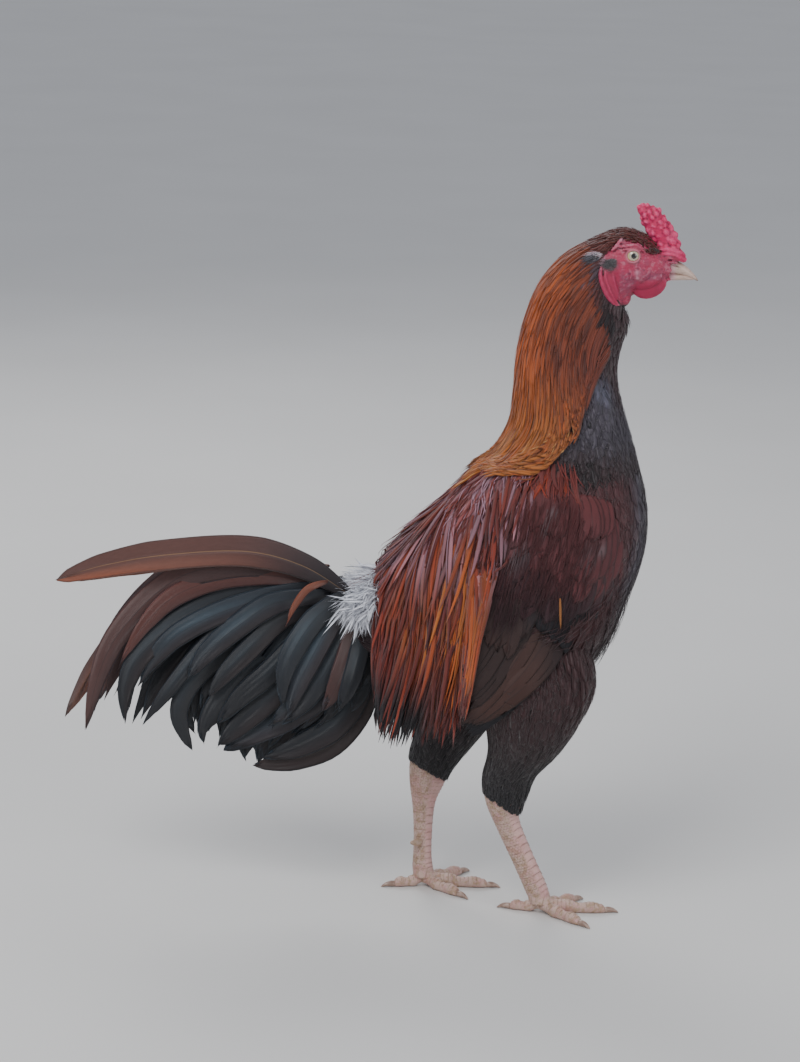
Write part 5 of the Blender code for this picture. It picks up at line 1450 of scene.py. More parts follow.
def make_materials():
    """All materials of the bird, by the names that the pieces ask for."""
    barbs, blotches = barb_group(), blotch_group()
    soft = {"Roughness": 0.52, "Sheen Weight": 0.12, "Sheen Roughness": 0.4, "Specular IOR Level": 0.35}
    smooth = {"Roughness": 0.42, "Sheen Weight": 0.15, "Sheen Roughness": 0.35, "Specular IOR Level": 0.40}
    glossy = {"Roughness": 0.36, "Sheen Weight": 0.12, "Sheen Roughness": 0.3, "Specular IOR Level": 0.42,
              "Sheen Tint": (0.45, 0.62, 0.80, 1.0)}
    matt = {"Roughness": 0.50, "Sheen Weight": 0.05, "Sheen Roughness": 0.4, "Specular IOR Level": 0.28}
    skin = {"Roughness": 0.48, "Subsurface Weight": 0.18, "Subsurface Scale": 0.004,
            "Subsurface Radius": (1.0, 0.35, 0.25), "Specular IOR Level": 0.45}
    return {
        "lance": feather_material("lance_feather", barbs, soft, "shadow", 0.25, 0.40),
        "contour": feather_material("contour_feather", barbs, smooth, "shadow", 0.25, 0.40),
        "vane": feather_material("wing_vane", barbs, matt, "tar", 0.45, 0.26, 0.5),
        "tail": feather_material("tail_vane", barbs, glossy, "tar", 0.50, 0.40, 0.5, 34.0),
        "sickle": feather_material("sickle_vane", barbs, smooth, "straw", 0.26, 0.30, 0.5, 52.0),
        "down": feather_material("down", barbs, {"Roughness": 0.8, "Sheen Weight": 0.3}, "down", 0.1, 0.1),
        "face": skin_material("bare_skin", blotches, skin, 160.0, 1500.0, 0.35, 0.0005),
        "body": skin_material("body_skin", blotches, {"Roughness": 0.8}, 60.0, 600.0, 0.3, 0.0003),
        "shank": skin_material("shank_skin", blotches, {"Roughness": 0.55}, 140.0, 1400.0, 0.3, 0.0004),
        "horn": skin_material("bill_horn", blotches, {"Roughness": 0.32, "Coat Weight": 0.2},
                              120.0, 900.0, 0.2, 0.0001),
        "eye": eye_material(),
    }


def deselect():
    """Leaves edit mode, with nothing selected."""
    if bpy.context.object and bpy.context.object.mode != "OBJECT":
        bpy.ops.object.mode_set(mode="OBJECT")
    bpy.ops.object.select_all(action="DESELECT")


def mesh_arrays(obj):
    """The object's points in the body's frame, and its normals."""
    points, normals = np.empty((2, len(obj.data.vertices) * 3))
    obj.data.vertices.foreach_get("co", points)
    obj.data.vertices.foreach_get("normal", normals)
    return points.reshape(-1, 3) - PLACE, normals.reshape(-1, 3)


def set_points(obj, points):
    """Moves the object's points to places in the body's frame."""
    obj.data.vertices.foreach_set("co", (points + PLACE).astype(np.float32).ravel())
    obj.data.update()


def hollows(obj, points, normals):
    """How deep each point lies between its neighbours, from -1 on ridges to 1 in folds."""
    edges = np.empty(len(obj.data.edges) * 2, np.int32)
    obj.data.edges.foreach_get("vertices", edges)
    a, b = edges.reshape(-1, 2).T
    count = np.maximum(np.bincount(np.concatenate([a, b]), minlength=len(points)), 1)

    def neighbours(values):
        """The mean of each point's neighbours."""
        total = np.zeros_like(values)
        np.add.at(total, a, values[b])
        np.add.at(total, b, values[a])
        return (total.T / count).T

    depth = ((neighbours(points) - points) * normals).sum(1)
    for _ in range(4):
        depth = 0.5 * depth + 0.5 * neighbours(depth)
    return np.clip(depth / (3 * depth.std() + 1e-12), -1, 1)


class Clay:
    """Lumps and rolls of skin set together in one mesh, then fused into one smooth surface."""

    def __init__(self):
        self.points, self.faces = [], []

    def loft(self, rings):
        """A closed surface through rings of equal size."""
        rings = np.asarray(rings)
        count, size = rings.shape[:2]
        base = sum(len(p) for p in self.points)
        i = np.arange((count - 1) * size)
        j = i - i % size + (i + 1) % size
        quads = np.stack([i, j, j + size, i + size], -1) + base
        k = np.arange(size)
        after = (k + 1) % size
        first, end = base + count * size, base + (count - 1) * size
        caps = np.concatenate([np.stack([np.full(size, first), base + after, base + k], -1),
                               np.stack([np.full(size, first + 1), end + k, end + after], -1)])
        self.points.append(np.concatenate([rings.reshape(-1, 3), rings[[0, -1]].mean(1)]))
        self.faces.append((quads, caps))

    def lump(self, centre, radii, turn=0.0, sides=20):
        """An ellipsoid turned about Y."""
        polar = np.linspace(0.04, math.pi - 0.04, sides // 2 + 2)[:, None]
        a = full_turn(sides)[None]
        x = np.cos(polar) * radii[0] + 0 * a
        y = np.sin(polar) * np.cos(a) * radii[1]
        z = np.sin(polar) * np.sin(a) * radii[2]
        c, s = math.cos(turn), math.sin(turn)
        self.loft(np.stack([centre[0] + c * x + s * z, centre[1] + y, centre[2] - s * x + c * z], -1))

    def roll(self, path, radii, sides):
        """A round roll of skin along a path through a few points."""
        path = np.asarray(path, float)
        t = np.linspace(0, len(path) - 1, 6 * (len(path) - 1) + 1)
        line = spline(path, t)
        radius = np.interp(t, np.arange(len(path)), radii)
        along = unit(np.gradient(line, axis=0))
        other = unit(np.cross(along, np.broadcast_to((0.0, 1.0, 0.0), line.shape)))
        side = np.cross(other, along)
        a = full_turn(sides)
        ring = side[:, None] * np.cos(a)[:, None] + other[:, None] * np.sin(a)[:, None]
        self.loft(line[:, None] + ring * radius[:, None, None])

    def fused(self, name, voxel, passes, material, nodes):
        """One surface of all that was set together."""
        faces = [np.concatenate(kind) for kind in zip(*self.faces)]
        obj = piece(name, np.concatenate(self.points), faces, material, nodes)
        deselect()
        obj.select_set(True)
        bpy.context.view_layer.objects.active = obj
        bpy.ops.object.mode_set(mode="EDIT")
        bpy.ops.mesh.select_all(action="SELECT")
        bpy.ops.mesh.normals_make_consistent(inside=False)
        bpy.ops.object.mode_set(mode="OBJECT")
        remesh = obj.modifiers.new("fuse", "REMESH")
        remesh.mode, remesh.voxel_size = "VOXEL", voxel
        bpy.ops.object.modifier_apply(modifier="fuse")
        soften = obj.modifiers.new("soften", "SMOOTH")
        soften.factor, soften.iterations = 0.5, passes
        bpy.ops.object.modifier_apply(modifier="soften")
        obj.data.shade_smooth()
        return obj


def swept(path, radii, sides, broad=1.0, levels=2):
    """A spike of horn: a disc drawn out from point to point of a path, scaled at each, then smoothed."""
    deselect()
    path = [Vector(p) + Vector(PLACE) for p in path]
    way = (path[1] - path[0]).normalized()
    bpy.ops.mesh.primitive_circle_add(vertices=sides, radius=radii[0], fill_type="NGON", location=path[0],
                                      rotation=way.to_track_quat("Z", "Y").to_euler())
    spike = bpy.context.object
    bpy.ops.object.transform_apply(location=True, rotation=True, scale=True)
    bpy.ops.object.mode_set(mode="EDIT")
    bpy.ops.mesh.select_all(action="SELECT")
    bpy.ops.transform.resize(value=(1, broad, 1), center_override=path[0])
    for start, end, large, small in zip(path, path[1:], radii, radii[1:]):
        bpy.ops.mesh.extrude_region_move(TRANSFORM_OT_translate={"value": end - start})
        bpy.ops.transform.resize(value=[small / large] * 3, center_override=end)
    bpy.ops.mesh.select_all(action="SELECT")
    bpy.ops.mesh.remove_doubles(threshold=0.00001)
    bpy.ops.mesh.normals_make_consistent(inside=False)
    bpy.ops.object.mode_set(mode="OBJECT")
    rounded = spike.modifiers.new("rounded", "SUBSURF")
    rounded.levels = rounded.render_levels = levels
    bpy.ops.object.modifier_apply(modifier="rounded")
    bpy.ops.object.shade_smooth()
    return spike


# The comb's line from the bill to the crown: x, z, half thickness; and its breadth against that
COMB_LINE = (
    (0.1572, 0.5752, 0.0052),
    (0.1545, 0.5800, 0.0072),
    (0.1500, 0.5868, 0.0086),
    (0.1448, 0.5945, 0.0094),
    (0.1390, 0.6030, 0.0094),
    (0.1335, 0.6105, 0.0082),
    (0.1292, 0.6150, 0.0056),
)
COMB_BREADTH = 0.76

# Folds of skin over the bill's root: path, radii
BILL_FOLDS = (
    (((0.1420, 0.0082, 0.5828), (0.1500, 0.0080, 0.5832), (0.1590, 0.0058, 0.5802),
      (0.1640, 0.0010, 0.5768)), (0.0012, 0.0022, 0.0024, 0.0022)),
    (((0.1425, 0.0096, 0.5792), (0.1510, 0.0086, 0.5794), (0.1600, 0.0062, 0.5766),
      (0.1652, 0.0008, 0.5734)), (0.0010, 0.0018, 0.0021, 0.0020)),
    (((0.1450, 0.0098, 0.5760), (0.1530, 0.0084, 0.5760), (0.1605, 0.0056, 0.5740),
      (0.1640, 0.0020, 0.5722)), (0.0008, 0.0014, 0.0015, 0.0010)),
    (((0.1470, 0.0102, 0.5726), (0.1540, 0.0084, 0.5724), (0.1590, 0.0064, 0.5712)),
     (0.0006, 0.0011, 0.0006)),
)

# Folds of brow, lids, cheek, gape and lobe on one side: path, radii
FACE_FOLDS = (
    (((0.1015, 0.0186, 0.5822), (0.1058, 0.0180, 0.5866), (0.1090, 0.0152, 0.5908)),
     (0.0008, 0.0018, 0.0016)),
    (((0.1088, 0.0156, 0.5900), (0.1104, 0.0140, 0.5930)), (0.0017, 0.0009)),
    (((0.1080, 0.0186, 0.5862), (0.1150, 0.0190, 0.5870), (0.1222, 0.0186, 0.5872),
      (0.1282, 0.0168, 0.5838), (0.1312, 0.0162, 0.5785)), (0.0010, 0.0018, 0.0021, 0.0017, 0.0007)),
    (((0.1105, 0.0192, 0.5838), (0.1160, 0.0204, 0.5843), (0.1215, 0.0204, 0.5844),
      (0.1262, 0.0186, 0.5826)), (0.0005, 0.0011, 0.0012, 0.0005)),
    (((0.1230, 0.0184, 0.5892), (0.1270, 0.0168, 0.5868)), (0.0009, 0.0008)),
    (((0.1330, 0.0165, 0.5775), (0.1385, 0.0140, 0.5760), (0.1450, 0.0112, 0.5752)),
     (0.0006, 0.0010, 0.0007)),
    (((0.1335, 0.0166, 0.5738), (0.1400, 0.0138, 0.5722), (0.1465, 0.0110, 0.5718)),
     (0.0006, 0.0012, 0.0007)),
    (((0.1335, 0.0164, 0.5700), (0.1410, 0.0138, 0.5686), (0.1490, 0.0104, 0.5690)),
     (0.0006, 0.0012, 0.0008)),
    (((0.1345, 0.0160, 0.5640), (0.1440, 0.0126, 0.5646), (0.1535, 0.0082, 0.5660)),
     (0.0010, 0.0020, 0.0014)),
    (((0.1350, 0.0148, 0.5580), (0.1440, 0.0112, 0.5582), (0.1530, 0.0066, 0.5578)),
     (0.0012, 0.0018, 0.0012)),
    (((0.1218, 0.0204, 0.5682), (0.1240, 0.0208, 0.5655), (0.1236, 0.0206, 0.5620),
      (0.1248, 0.0200, 0.5588)), (0.0005, 0.0011, 0.0010, 0.0005)),
    (((0.1250, 0.0204, 0.5700), (0.1268, 0.0202, 0.5672), (0.1262, 0.0198, 0.5640)),
     (0.0004, 0.0009, 0.0004)),
    (((0.1178, 0.0210, 0.5668), (0.1190, 0.0210, 0.5630), (0.1182, 0.0206, 0.5590)),
     (0.0004, 0.0009, 0.0004)),
    (((0.0935, 0.0214, 0.5690), (0.0930, 0.0236, 0.5620), (0.0962, 0.0246, 0.5520),
      (0.1012, 0.0236, 0.5432), (0.1078, 0.0206, 0.5362)), (0.0008, 0.0019, 0.0023, 0.0022, 0.0012)),
    (((0.0972, 0.0218, 0.5660), (0.0975, 0.0236, 0.5595), (0.1008, 0.0240, 0.5505),
      (0.1050, 0.0224, 0.5425), (0.1098, 0.0196, 0.5366)), (0.0006, 0.0015, 0.0018, 0.0017, 0.0010)),
    (((0.1035, 0.0216, 0.5645), (0.1045, 0.0224, 0.5580), (0.1070, 0.0218, 0.5490),
      (0.1105, 0.0196, 0.5420)), (0.0005, 0.0012, 0.0014, 0.0006)),
)

# The eyeballs sit a little behind, inside and above the solids' eyes
EYE_PLACE = EYE + (-0.0016, -0.0008, 0.0014)

# Upper and lower eyelid: first and last angle in degrees, half height, radius
EYELIDS = ((-14, 196, 0.0050, 0.00085), (188, 352, 0.0053, 0.00080))

# Fine creases round each eye socket: radius, drop, thickness
SOCKET_CREASES = ((0.0086, 0.0008, 0.0010), (0.0108, 0.0014, 0.0010), (0.0128, 0.0030, 0.0008))

# Cheek, throat, lobe and the two layers of the wattle: centre, radii, tilt
FLESH = (
    ((0.1230, 0.0152, 0.5640), (0.0125, 0.0060, 0.0080), 0.1),
    ((0.1130, 0.0040, 0.5415), (0.0078, 0.0090, 0.0095), 0.2),
    ((0.1010, 0.0206, 0.5530), (0.0070, 0.0036, 0.0145), -0.38),
    ((0.1352, 0.0112, 0.5532), (0.0152, 0.0030, 0.0114), -0.41),
    ((0.1340, 0.0128, 0.5572), (0.0130, 0.0040, 0.0066), -0.41),
)

# Pale patches on the face: centre x z, spread x z, share
PALE_SPOTS = (
    ((0.0925, 0.5775), (0.0035, 0.0050), 0.75),
    ((0.1108, 0.5925), (0.0024, 0.0028), 0.60),
    ((0.1238, 0.5650), (0.0022, 0.0022), 0.45),
    ((0.1242, 0.5605), (0.0018, 0.0018), 0.45),
    ((0.0978, 0.5702), (0.0030, 0.0030), 0.45),
)


def comb_lumps(clay):
    """Pea comb: one thick mass up the forehead, set all over with uneven peas, and folds over the bill."""
    line = np.array(COMB_LINE)
    rows = spline(line, np.linspace(0, len(line) - 1, 26))
    along = unit(np.gradient(rows[:, :2], axis=0))

    def on_mass(row, way, angle, share):
        """Points at a share of the way from the comb's line to its surface."""
        reach = row[..., 2] * share
        x = row[..., 0] + way[..., 1] * np.cos(angle) * reach
        z = row[..., 1] - way[..., 0] * np.cos(angle) * reach
        return np.stack([x, np.sin(angle) * reach * COMB_BREADTH, z], -1)

    clay.loft(on_mass(rows[:, None], along[:, None], full_turn(28)[None], 1.00))
    clay.lump((0.1282, 0.0, 0.6148), (0.0050, 0.0044, 0.0048))
    for i in range(10):
        at = int((i + 0.35 + RNG.uniform(-0.2, 0.2)) / 10 * (len(rows) - 1))
        lean = math.atan2(-along[at][1], along[at][0])
        peas = 8 if i % 2 else 9
        for k in range(peas):
            radius = RNG.uniform(0.0020, 0.0032) * (0.75 + 0.35 * math.sin(math.pi * (i + 1) / 11))
            angle = (k + 0.5 * (i % 2) + RNG.uniform(-0.22, 0.22)) / peas * math.tau
            centre = on_mass(rows[at], along[at], np.array(angle), 0.89) + several(3, -0.0010, 0.0010)
            clay.lump(centre, (radius * RNG.uniform(1.0, 1.35), radius, radius * RNG.uniform(0.8, 1.05)),
                      lean + RNG.uniform(-0.8, 0.8), 14)
    for x, z in ((0.1246, 0.6172), (0.1275, 0.6188), (0.1310, 0.6190)):
        clay.lump((x, RNG.uniform(-0.002, 0.002), z), (0.0024, 0.0028, 0.0022), RNG.uniform(-0.5, 0.5), 14)
    for sign in SIDES.values():
        for path, radii in BILL_FOLDS:
            clay.roll(np.array(path) * (1, sign, 1), radii, 12)


def face_lumps(clay):
    """Brows, lids, cheeks, gape, lobes and wattles on both sides of the head."""
    for sign in SIDES.values():
        mirror = np.array((1, sign, 1))
        for path, radii in FACE_FOLDS:
            clay.roll(np.array(path) * mirror, radii, 10)
        for start, end, rise, radius in EYELIDS:
            turn = np.radians(np.linspace(start, end, 9))
            lid = np.stack([EYE_PLACE[0] + np.cos(turn) * 0.0056,
                            EYE[1] + (0.0044 - 0.0016 * np.cos(turn) ** 2),
                            EYE_PLACE[2] + np.sin(turn) * rise], -1)
            clay.roll(lid * mirror, [radius] * 9, 10)
        for radius, drop, thick in SOCKET_CREASES:
            turn = np.radians(np.linspace(200, 325, 7))
            fold = np.stack([EYE_PLACE[0] + np.cos(turn) * radius, 0.0201 - 0.0014 * np.abs(np.cos(turn)),
                             EYE_PLACE[2] - drop + np.sin(turn) * radius * 0.84], -1)
            clay.roll(fold * mirror, [thick * k for k in (0.3, 0.8, 1.1, 1.2, 1.0, 0.7, 0.3)], 8)
        for centre, radii, tilt in FLESH:
            clay.lump(np.array(centre) * mirror, radii, tilt)


def head_tint(points, depth, comb, lids, bare):
    """Magenta skin with painted shade in folds and painted highlights on ridges; greyer cheeks, a smooth red
    wattle.
    """
    x, y, z = points.T
    wide = np.abs(y)
    fold = ramp(0.0, 0.8, depth)
    cloudy = ramp(-0.1, 0.5, grain(points, 120, 3))
    low_cheek = ramp(0.5700, 0.5580, z) * ramp(0.1040, 0.1120, x) * ramp(0.5420, 0.5500, z)
    # Comb: painted highlights on the peas' ridges, painted shade between them, and paler patches at random
    red = painted("comb", ("comb_pink_and_highlight", ramp(0.05, 0.9, -depth) * 0.55),
                  ("face_fold_shade", ramp(0.05, 0.8, depth) * 0.85),
                  ("comb_pink_and_highlight", 0.35 * ramp(0.2, 0.7, grain(points, 90, 2))))
    # Wattle and lobes: painted shade in their folds, painted highlights on their ridges
    deep = painted("wattle", ("face_fold_shade", fold * 0.75), ("comb_pink_and_highlight", 0.30 * ramp(0.1, 0.8, -depth)))
    flap = ramp(0.5600, 0.5530, z - 0.25 * (x - 0.1350)) * ramp(0.1170, 0.1210, x)
    lobes = ramp(0.1110, 0.1070, x) * ramp(0.5680, 0.5640, z) * ramp(0.0165, 0.0185, wide)
    ear = spot(x, z, (0.1022, 0.5712), (0.0060, 0.0052), 3) * (wide > 0.017)
    wedge = spot(x, z, (0.1372, 0.5822), (0.0062, 0.0034)) * (1 - comb) * (wide > 0.008)
    under_feathers = np.clip(ramp(0.0860, 0.0780, x + (z - 0.56) * 0.1) + ramp(0.5372, 0.5345, z), 0, 1)
    # Face: painted shade in the folds and painted highlights on the ridges, over greyer cheeks and pale
    # patches
    return painted("face", ("face_fold_shade", fold * 0.8), ("pale_skin", 0.26 * ramp(0.15, 0.9, -depth)),
                   ("face_grey", (0.25 * cloudy + 0.40 * low_cheek) * bare),
                   ("pale_skin", 0.22 * ramp(0.15, 0.6, grain(points + 5.0, 210, 3)) * bare),
                   (red, comb), (deep, np.clip(flap + lobes, 0, 1) * 0.9),
                   *(("pale_skin", share * spot(x, z, place, size)) for place, size, share in PALE_SPOTS),
                   (PAINT["ash"] * 0.30, 0.85 * ear), (PAINT["crown"] * 0.55, 0.8 * wedge),
                   (PAINT["pale_skin"] * np.array((0.8, 0.72, 0.66)), lids * 0.35),
                   ("shadow", under_feathers))


def make_head(mats):
    """Bare skin of face, comb, wattles and lobes over the whole head and down to the neck."""
    clay = Clay()
    t = np.linspace(0.0, 7.0, 60)[:, None]
    clay.loft(body(t, full_turn(72)[None], -0.0006 - 0.0012 * ramp(4.0, 6.0, t)))
    comb_lumps(clay)
    face_lumps(clay)
    head = clay.fused("head_skin", 0.00062, 4, mats["face"],
                      ["head", "comb", "lobe_left", "lobe_right", "wattle_left", "wattle_right"])
    points, normals = mesh_arrays(head)
    x, y, z = points.T
    wide = np.abs(y)
    comb = ramp(-0.0006, 0.0016, (x - 0.1340) * 0.80 + (z - 0.5935) * 0.58) * ramp(0.1160, 0.1200, x) \
        * ramp(0.0118, 0.0102, wide) * ramp(0.5770, 0.5790, z + 0.9 * (x - 0.1560) * (x > 0.1560))
    eye_gap = np.hypot(x - EYE_PLACE[0], z - EYE_PLACE[2])
    lids = np.exp(-((eye_gap - 0.0056) / 0.0014) ** 2) * (wide > 0.016)
    smooth_flap = ramp(0.5590, 0.5560, z) * ramp(0.1215, 0.1245, x)
    lobe = ramp(0.1110, 0.1070, x) * ramp(0.5700, 0.5660, z) * (wide > 0.0165)
    bare = (1 - comb) * (1 - lids) * (1 - 0.75 * np.maximum(smooth_flap, lobe))
    wrinkle = grain(points, (240, 480, 480), 3) * 0.00026
    pebbles = grain(points, 760, 2) * 0.00013
    creases = -np.abs(grain(points, (330, 420, 620), 2)) * 0.00034
    peas = grain(points, 820, 2) * 0.00020 * comb
    points = points + normals * ((wrinkle + pebbles + creases) * bare + peas)[:, None]
    for sign in SIDES.values():
        centre = EYE_PLACE * (1, sign, 1)
        away = points - centre
        distance = np.linalg.norm(away, axis=1)
        inside = (distance < EYE_RADIUS + 0.0002) & (np.sign(y) == sign)
        points[inside] = centre + away[inside] / distance[inside, None] * (EYE_RADIUS - 0.0010)
    set_points(head, points)
    depth = hollows(head, points, normals)
    add_layers(head, head_tint(points, depth, comb, lids, bare), None, flat_unwrap(points))


def make_eyes(mats):
    """Eyeballs: a black pupil in a cream iris with a faint yellow rim, and a clear bulge in front."""
    for side, sign in SIDES.items():
        deselect()
        centre = EYE_PLACE * (1, sign, 1)
        look = Vector((0.10, sign, 0.04)).normalized()
        ahead = np.array(look)
        bpy.ops.mesh.primitive_uv_sphere_add(segments=48, ring_count=96, radius=EYE_RADIUS - 0.0002,
                                             location=Vector(centre + PLACE),
                                             rotation=look.to_track_quat("Z", "Y").to_euler())
        eye = bpy.context.object
        eye.name = f"eyeball_{side}"
        bpy.ops.object.transform_apply(location=True, rotation=True, scale=True)
        bpy.ops.object.shade_smooth()
        for front, push in ((0.78, 0.00016), (0.88, 0.00014), (0.95, 0.00008)):
            away = mesh_arrays(eye)[0] - centre
            eye.data.vertices.foreach_set("select", unit(away) @ ahead > front)
            bpy.ops.object.mode_set(mode="EDIT")
            bpy.ops.mesh.select_mode(type="VERT")
            bpy.ops.transform.translate(value=look * push)
            bpy.ops.object.mode_set(mode="OBJECT")
        points = mesh_arrays(eye)[0]
        away = points - centre
        depth = away @ ahead
        out = np.where(depth > 0, np.linalg.norm(away - depth[:, None] * ahead, axis=1), EYE_RADIUS)
        turn = np.arctan2(away[:, 2], away[:, 0])
        rays = 0.5 + 0.5 * np.sin(turn * 23 + 5 * np.sin(turn * 7) + out * 3000)
        iris = painted("iris_pale", ("iris", rays), ("iris_rim", ramp(0.0036, 0.0046, out) * 0.7),
                       ("iris_brown", 0.5 * ramp(0.0028, 0.0024, out)))
        tone = painted("pupil", (iris, ramp(0.00222, 0.00246, out)),
                       ("lid_shadow", ramp(0.0048, 0.0053, out)))
        add_layers(eye, tone, None, flat_unwrap(points))
        finish_piece(eye, mats["eye"], [f"eye_{side}"])


# Upper and lower bill: the path of each from the face to its tip, x and z; radii, sides, breadth
BILL = {
    "upper": (((0.1480, 0.5680), (0.1560, 0.5674), (0.1630, 0.5655), (0.1690, 0.5624),
               (0.1738, 0.5590), (0.1770, 0.5560)),
              (0.0066, 0.0060, 0.0050, 0.0036, 0.0021, 0.0006), 20, 0.95),
    "lower": (((0.1480, 0.5590), (0.1570, 0.5592), (0.1650, 0.5588), (0.1705, 0.5580), (0.1745, 0.5574)),
              (0.0040, 0.0034, 0.0026, 0.0016, 0.0005), 18, 1.35),
}


def make_bill(mats):
    """Upper and lower horn: a pointed hook with slit nostrils over a thin lower half."""
    for half, (path, radii, sides, breadth) in BILL.items():
        bill = swept([(x, 0, z) for x, z in path], radii, sides, breadth, 3)
        bill.name = f"bill_{half}"
        points, normals = mesh_arrays(bill)
        x, z = points[:, 0], points[:, 2]
        if half == "upper":
            slit = np.exp(-((x - 0.1572) / 0.0026) ** 2
                          - ((z - 0.5690 + 0.35 * (x - 0.1572)) / 0.0006) ** 2)
            points = points - normals * (slit * 0.0010)[:, None]
            gape = ramp(0.5632, 0.5612, z + 0.22 * (x - 0.1540))
            # Painted shade in the nostril slit and along the gape; the darker tip is the horn's own colour
            dark = np.clip(slit + 0.6 * ramp(0.1735, 0.1775, x) + 0.35 * gape, 0, 1)
        else:
            # Painted shade along the lower bill's top edge, under the upper bill
            dark = 0.5 * ramp(0.5600, 0.5612, z)
        points = points - normals * (np.abs(grain(points, (260, 700, 1500), 2)) * 0.00012)[:, None]
        set_points(bill, points)
        tint = painted("horn", ("horn_dark", dark),
                       ("horn_dark", 0.25 * ramp(0.0, 0.5, grain(points, (180, 500, 900), 2))),
                       ("pale_skin", 0.5 * ramp(0.1590, 0.1550, x)))
        add_layers(bill, tint, None, flat_unwrap(points))
        finish_piece(bill, mats["horn"], [f"beak_{half}"])


# Station at which the skin of each leg starts under the feathers, and how much slimmer the far shank is
LEG_SKIN_START = {"right": 4.8, "left": 4.2}
FAR_SLIMMER = {"right": 0.0, "left": 0.0010}


def scale_relief(t, angle):
    """Height and seam of the scales: broad plates down the front in two columns, small round ones behind."""
    front = ramp(0.15, 0.55, -np.cos(angle))
    step = (t - SHANK_START) / (LEG_END - SHANK_START) * 19 + 0.5 * (np.sin(angle) > 0) \
        + 0.25 * np.sin(angle * 2)
    saw = step - np.floor(step)
    plate = 0.00085 * (saw - ramp(0.80, 1.0, saw) * saw)
    seam = np.maximum(ramp(0.84, 0.95, saw), np.exp(-(np.sin(angle) / 0.12) ** 2))
    row, column = t * 13, angle / math.tau * 18
    column = column + 0.5 * (np.floor(row) % 2)
    cell = np.sqrt(np.abs(np.sin(row * math.pi) * np.sin(column * math.pi)))
    height = front * (plate - 0.00030 * seam) + (1 - front) * 0.00075 * cell
    return height, front * seam * 0.8 + (1 - front) * ramp(0.50, 0.15, cell)


def add_toe(clay, hub, heading, length, radius):
    """One toe with its knuckles: where it starts, the way it points, the way across it, and its tip."""
    way = np.array((math.cos(heading), math.sin(heading), 0.0))
    s = np.linspace(0, 1, 61)
    knuckles = 1.0 + 0.11 * np.cos(s * math.tau * 2.5)
    r = (radius + (TOE_END_RADIUS - radius) * s) * knuckles * np.minimum(1.0, (1.02 - s) * 9 + 0.55)
    line = hub + way * (length * s)[:, None]
    line[:, 2] += (r * 0.86 - hub[2]) * np.minimum(1.0, s * 3.0)
    out = np.cross(way, (0, 0, 1))
    turn = full_turn(36)
    ring = line[:, None] + out * (np.cos(turn) * r[:, None])[..., None] \
        + np.array((0, 0, 1)) * (np.sin(turn) * r[:, None])[..., None]
    ring[..., 2] = np.maximum(ring[..., 2], 0.0003)
    clay.loft(ring)
    return line[0], way, out, line[-1]


def toe_relief(points, toes):
    """Height and seam of the plates across the top of each toe."""
    height, seam = np.zeros(len(points)), np.zeros(len(points))
    nearest = np.full(len(points), 1.0)
    for start, way, out, _ in toes:
        away = points - start
        along = (away * way).sum(1)
        aside = np.abs((away * out).sum(1)) + 10 * np.maximum(0, -along)
        here = aside < nearest
        nearest = np.where(here, aside, nearest)
        saw = (along / 0.0036) % 1.0
        up = ramp(0.0035, 0.0065, points[:, 2])
        height = np.where(here, 0.00060 * (saw - ramp(0.80, 1.0, saw) * saw) * up, height)
        seam = np.where(here, ramp(0.82, 0.95, saw) * up, seam)
    return height, seam


def leg_place(rows, points):
    """The station and angle on a leg's loft nearest to each point, and its distance from that ring."""
    ts = np.linspace(SHANK_START - 1.0, LEG_END, 260)
    row = spline(rows, ts)
    centre, way = (row[:, 0:3] + row[:, 3:6]) / 2, unit(row[:, 0:3] - row[:, 3:6])
    axis = unit(np.gradient(centre, axis=0))
    off = np.abs((points @ axis.T) - (centre * axis).sum(1)[None])
    nearest = off.argmin(1)
    away = points - centre[nearest]
    angle = np.arctan2(away[:, 1], (away * way[nearest]).sum(1))
    return ts[nearest], angle, off[np.arange(len(points)), nearest]


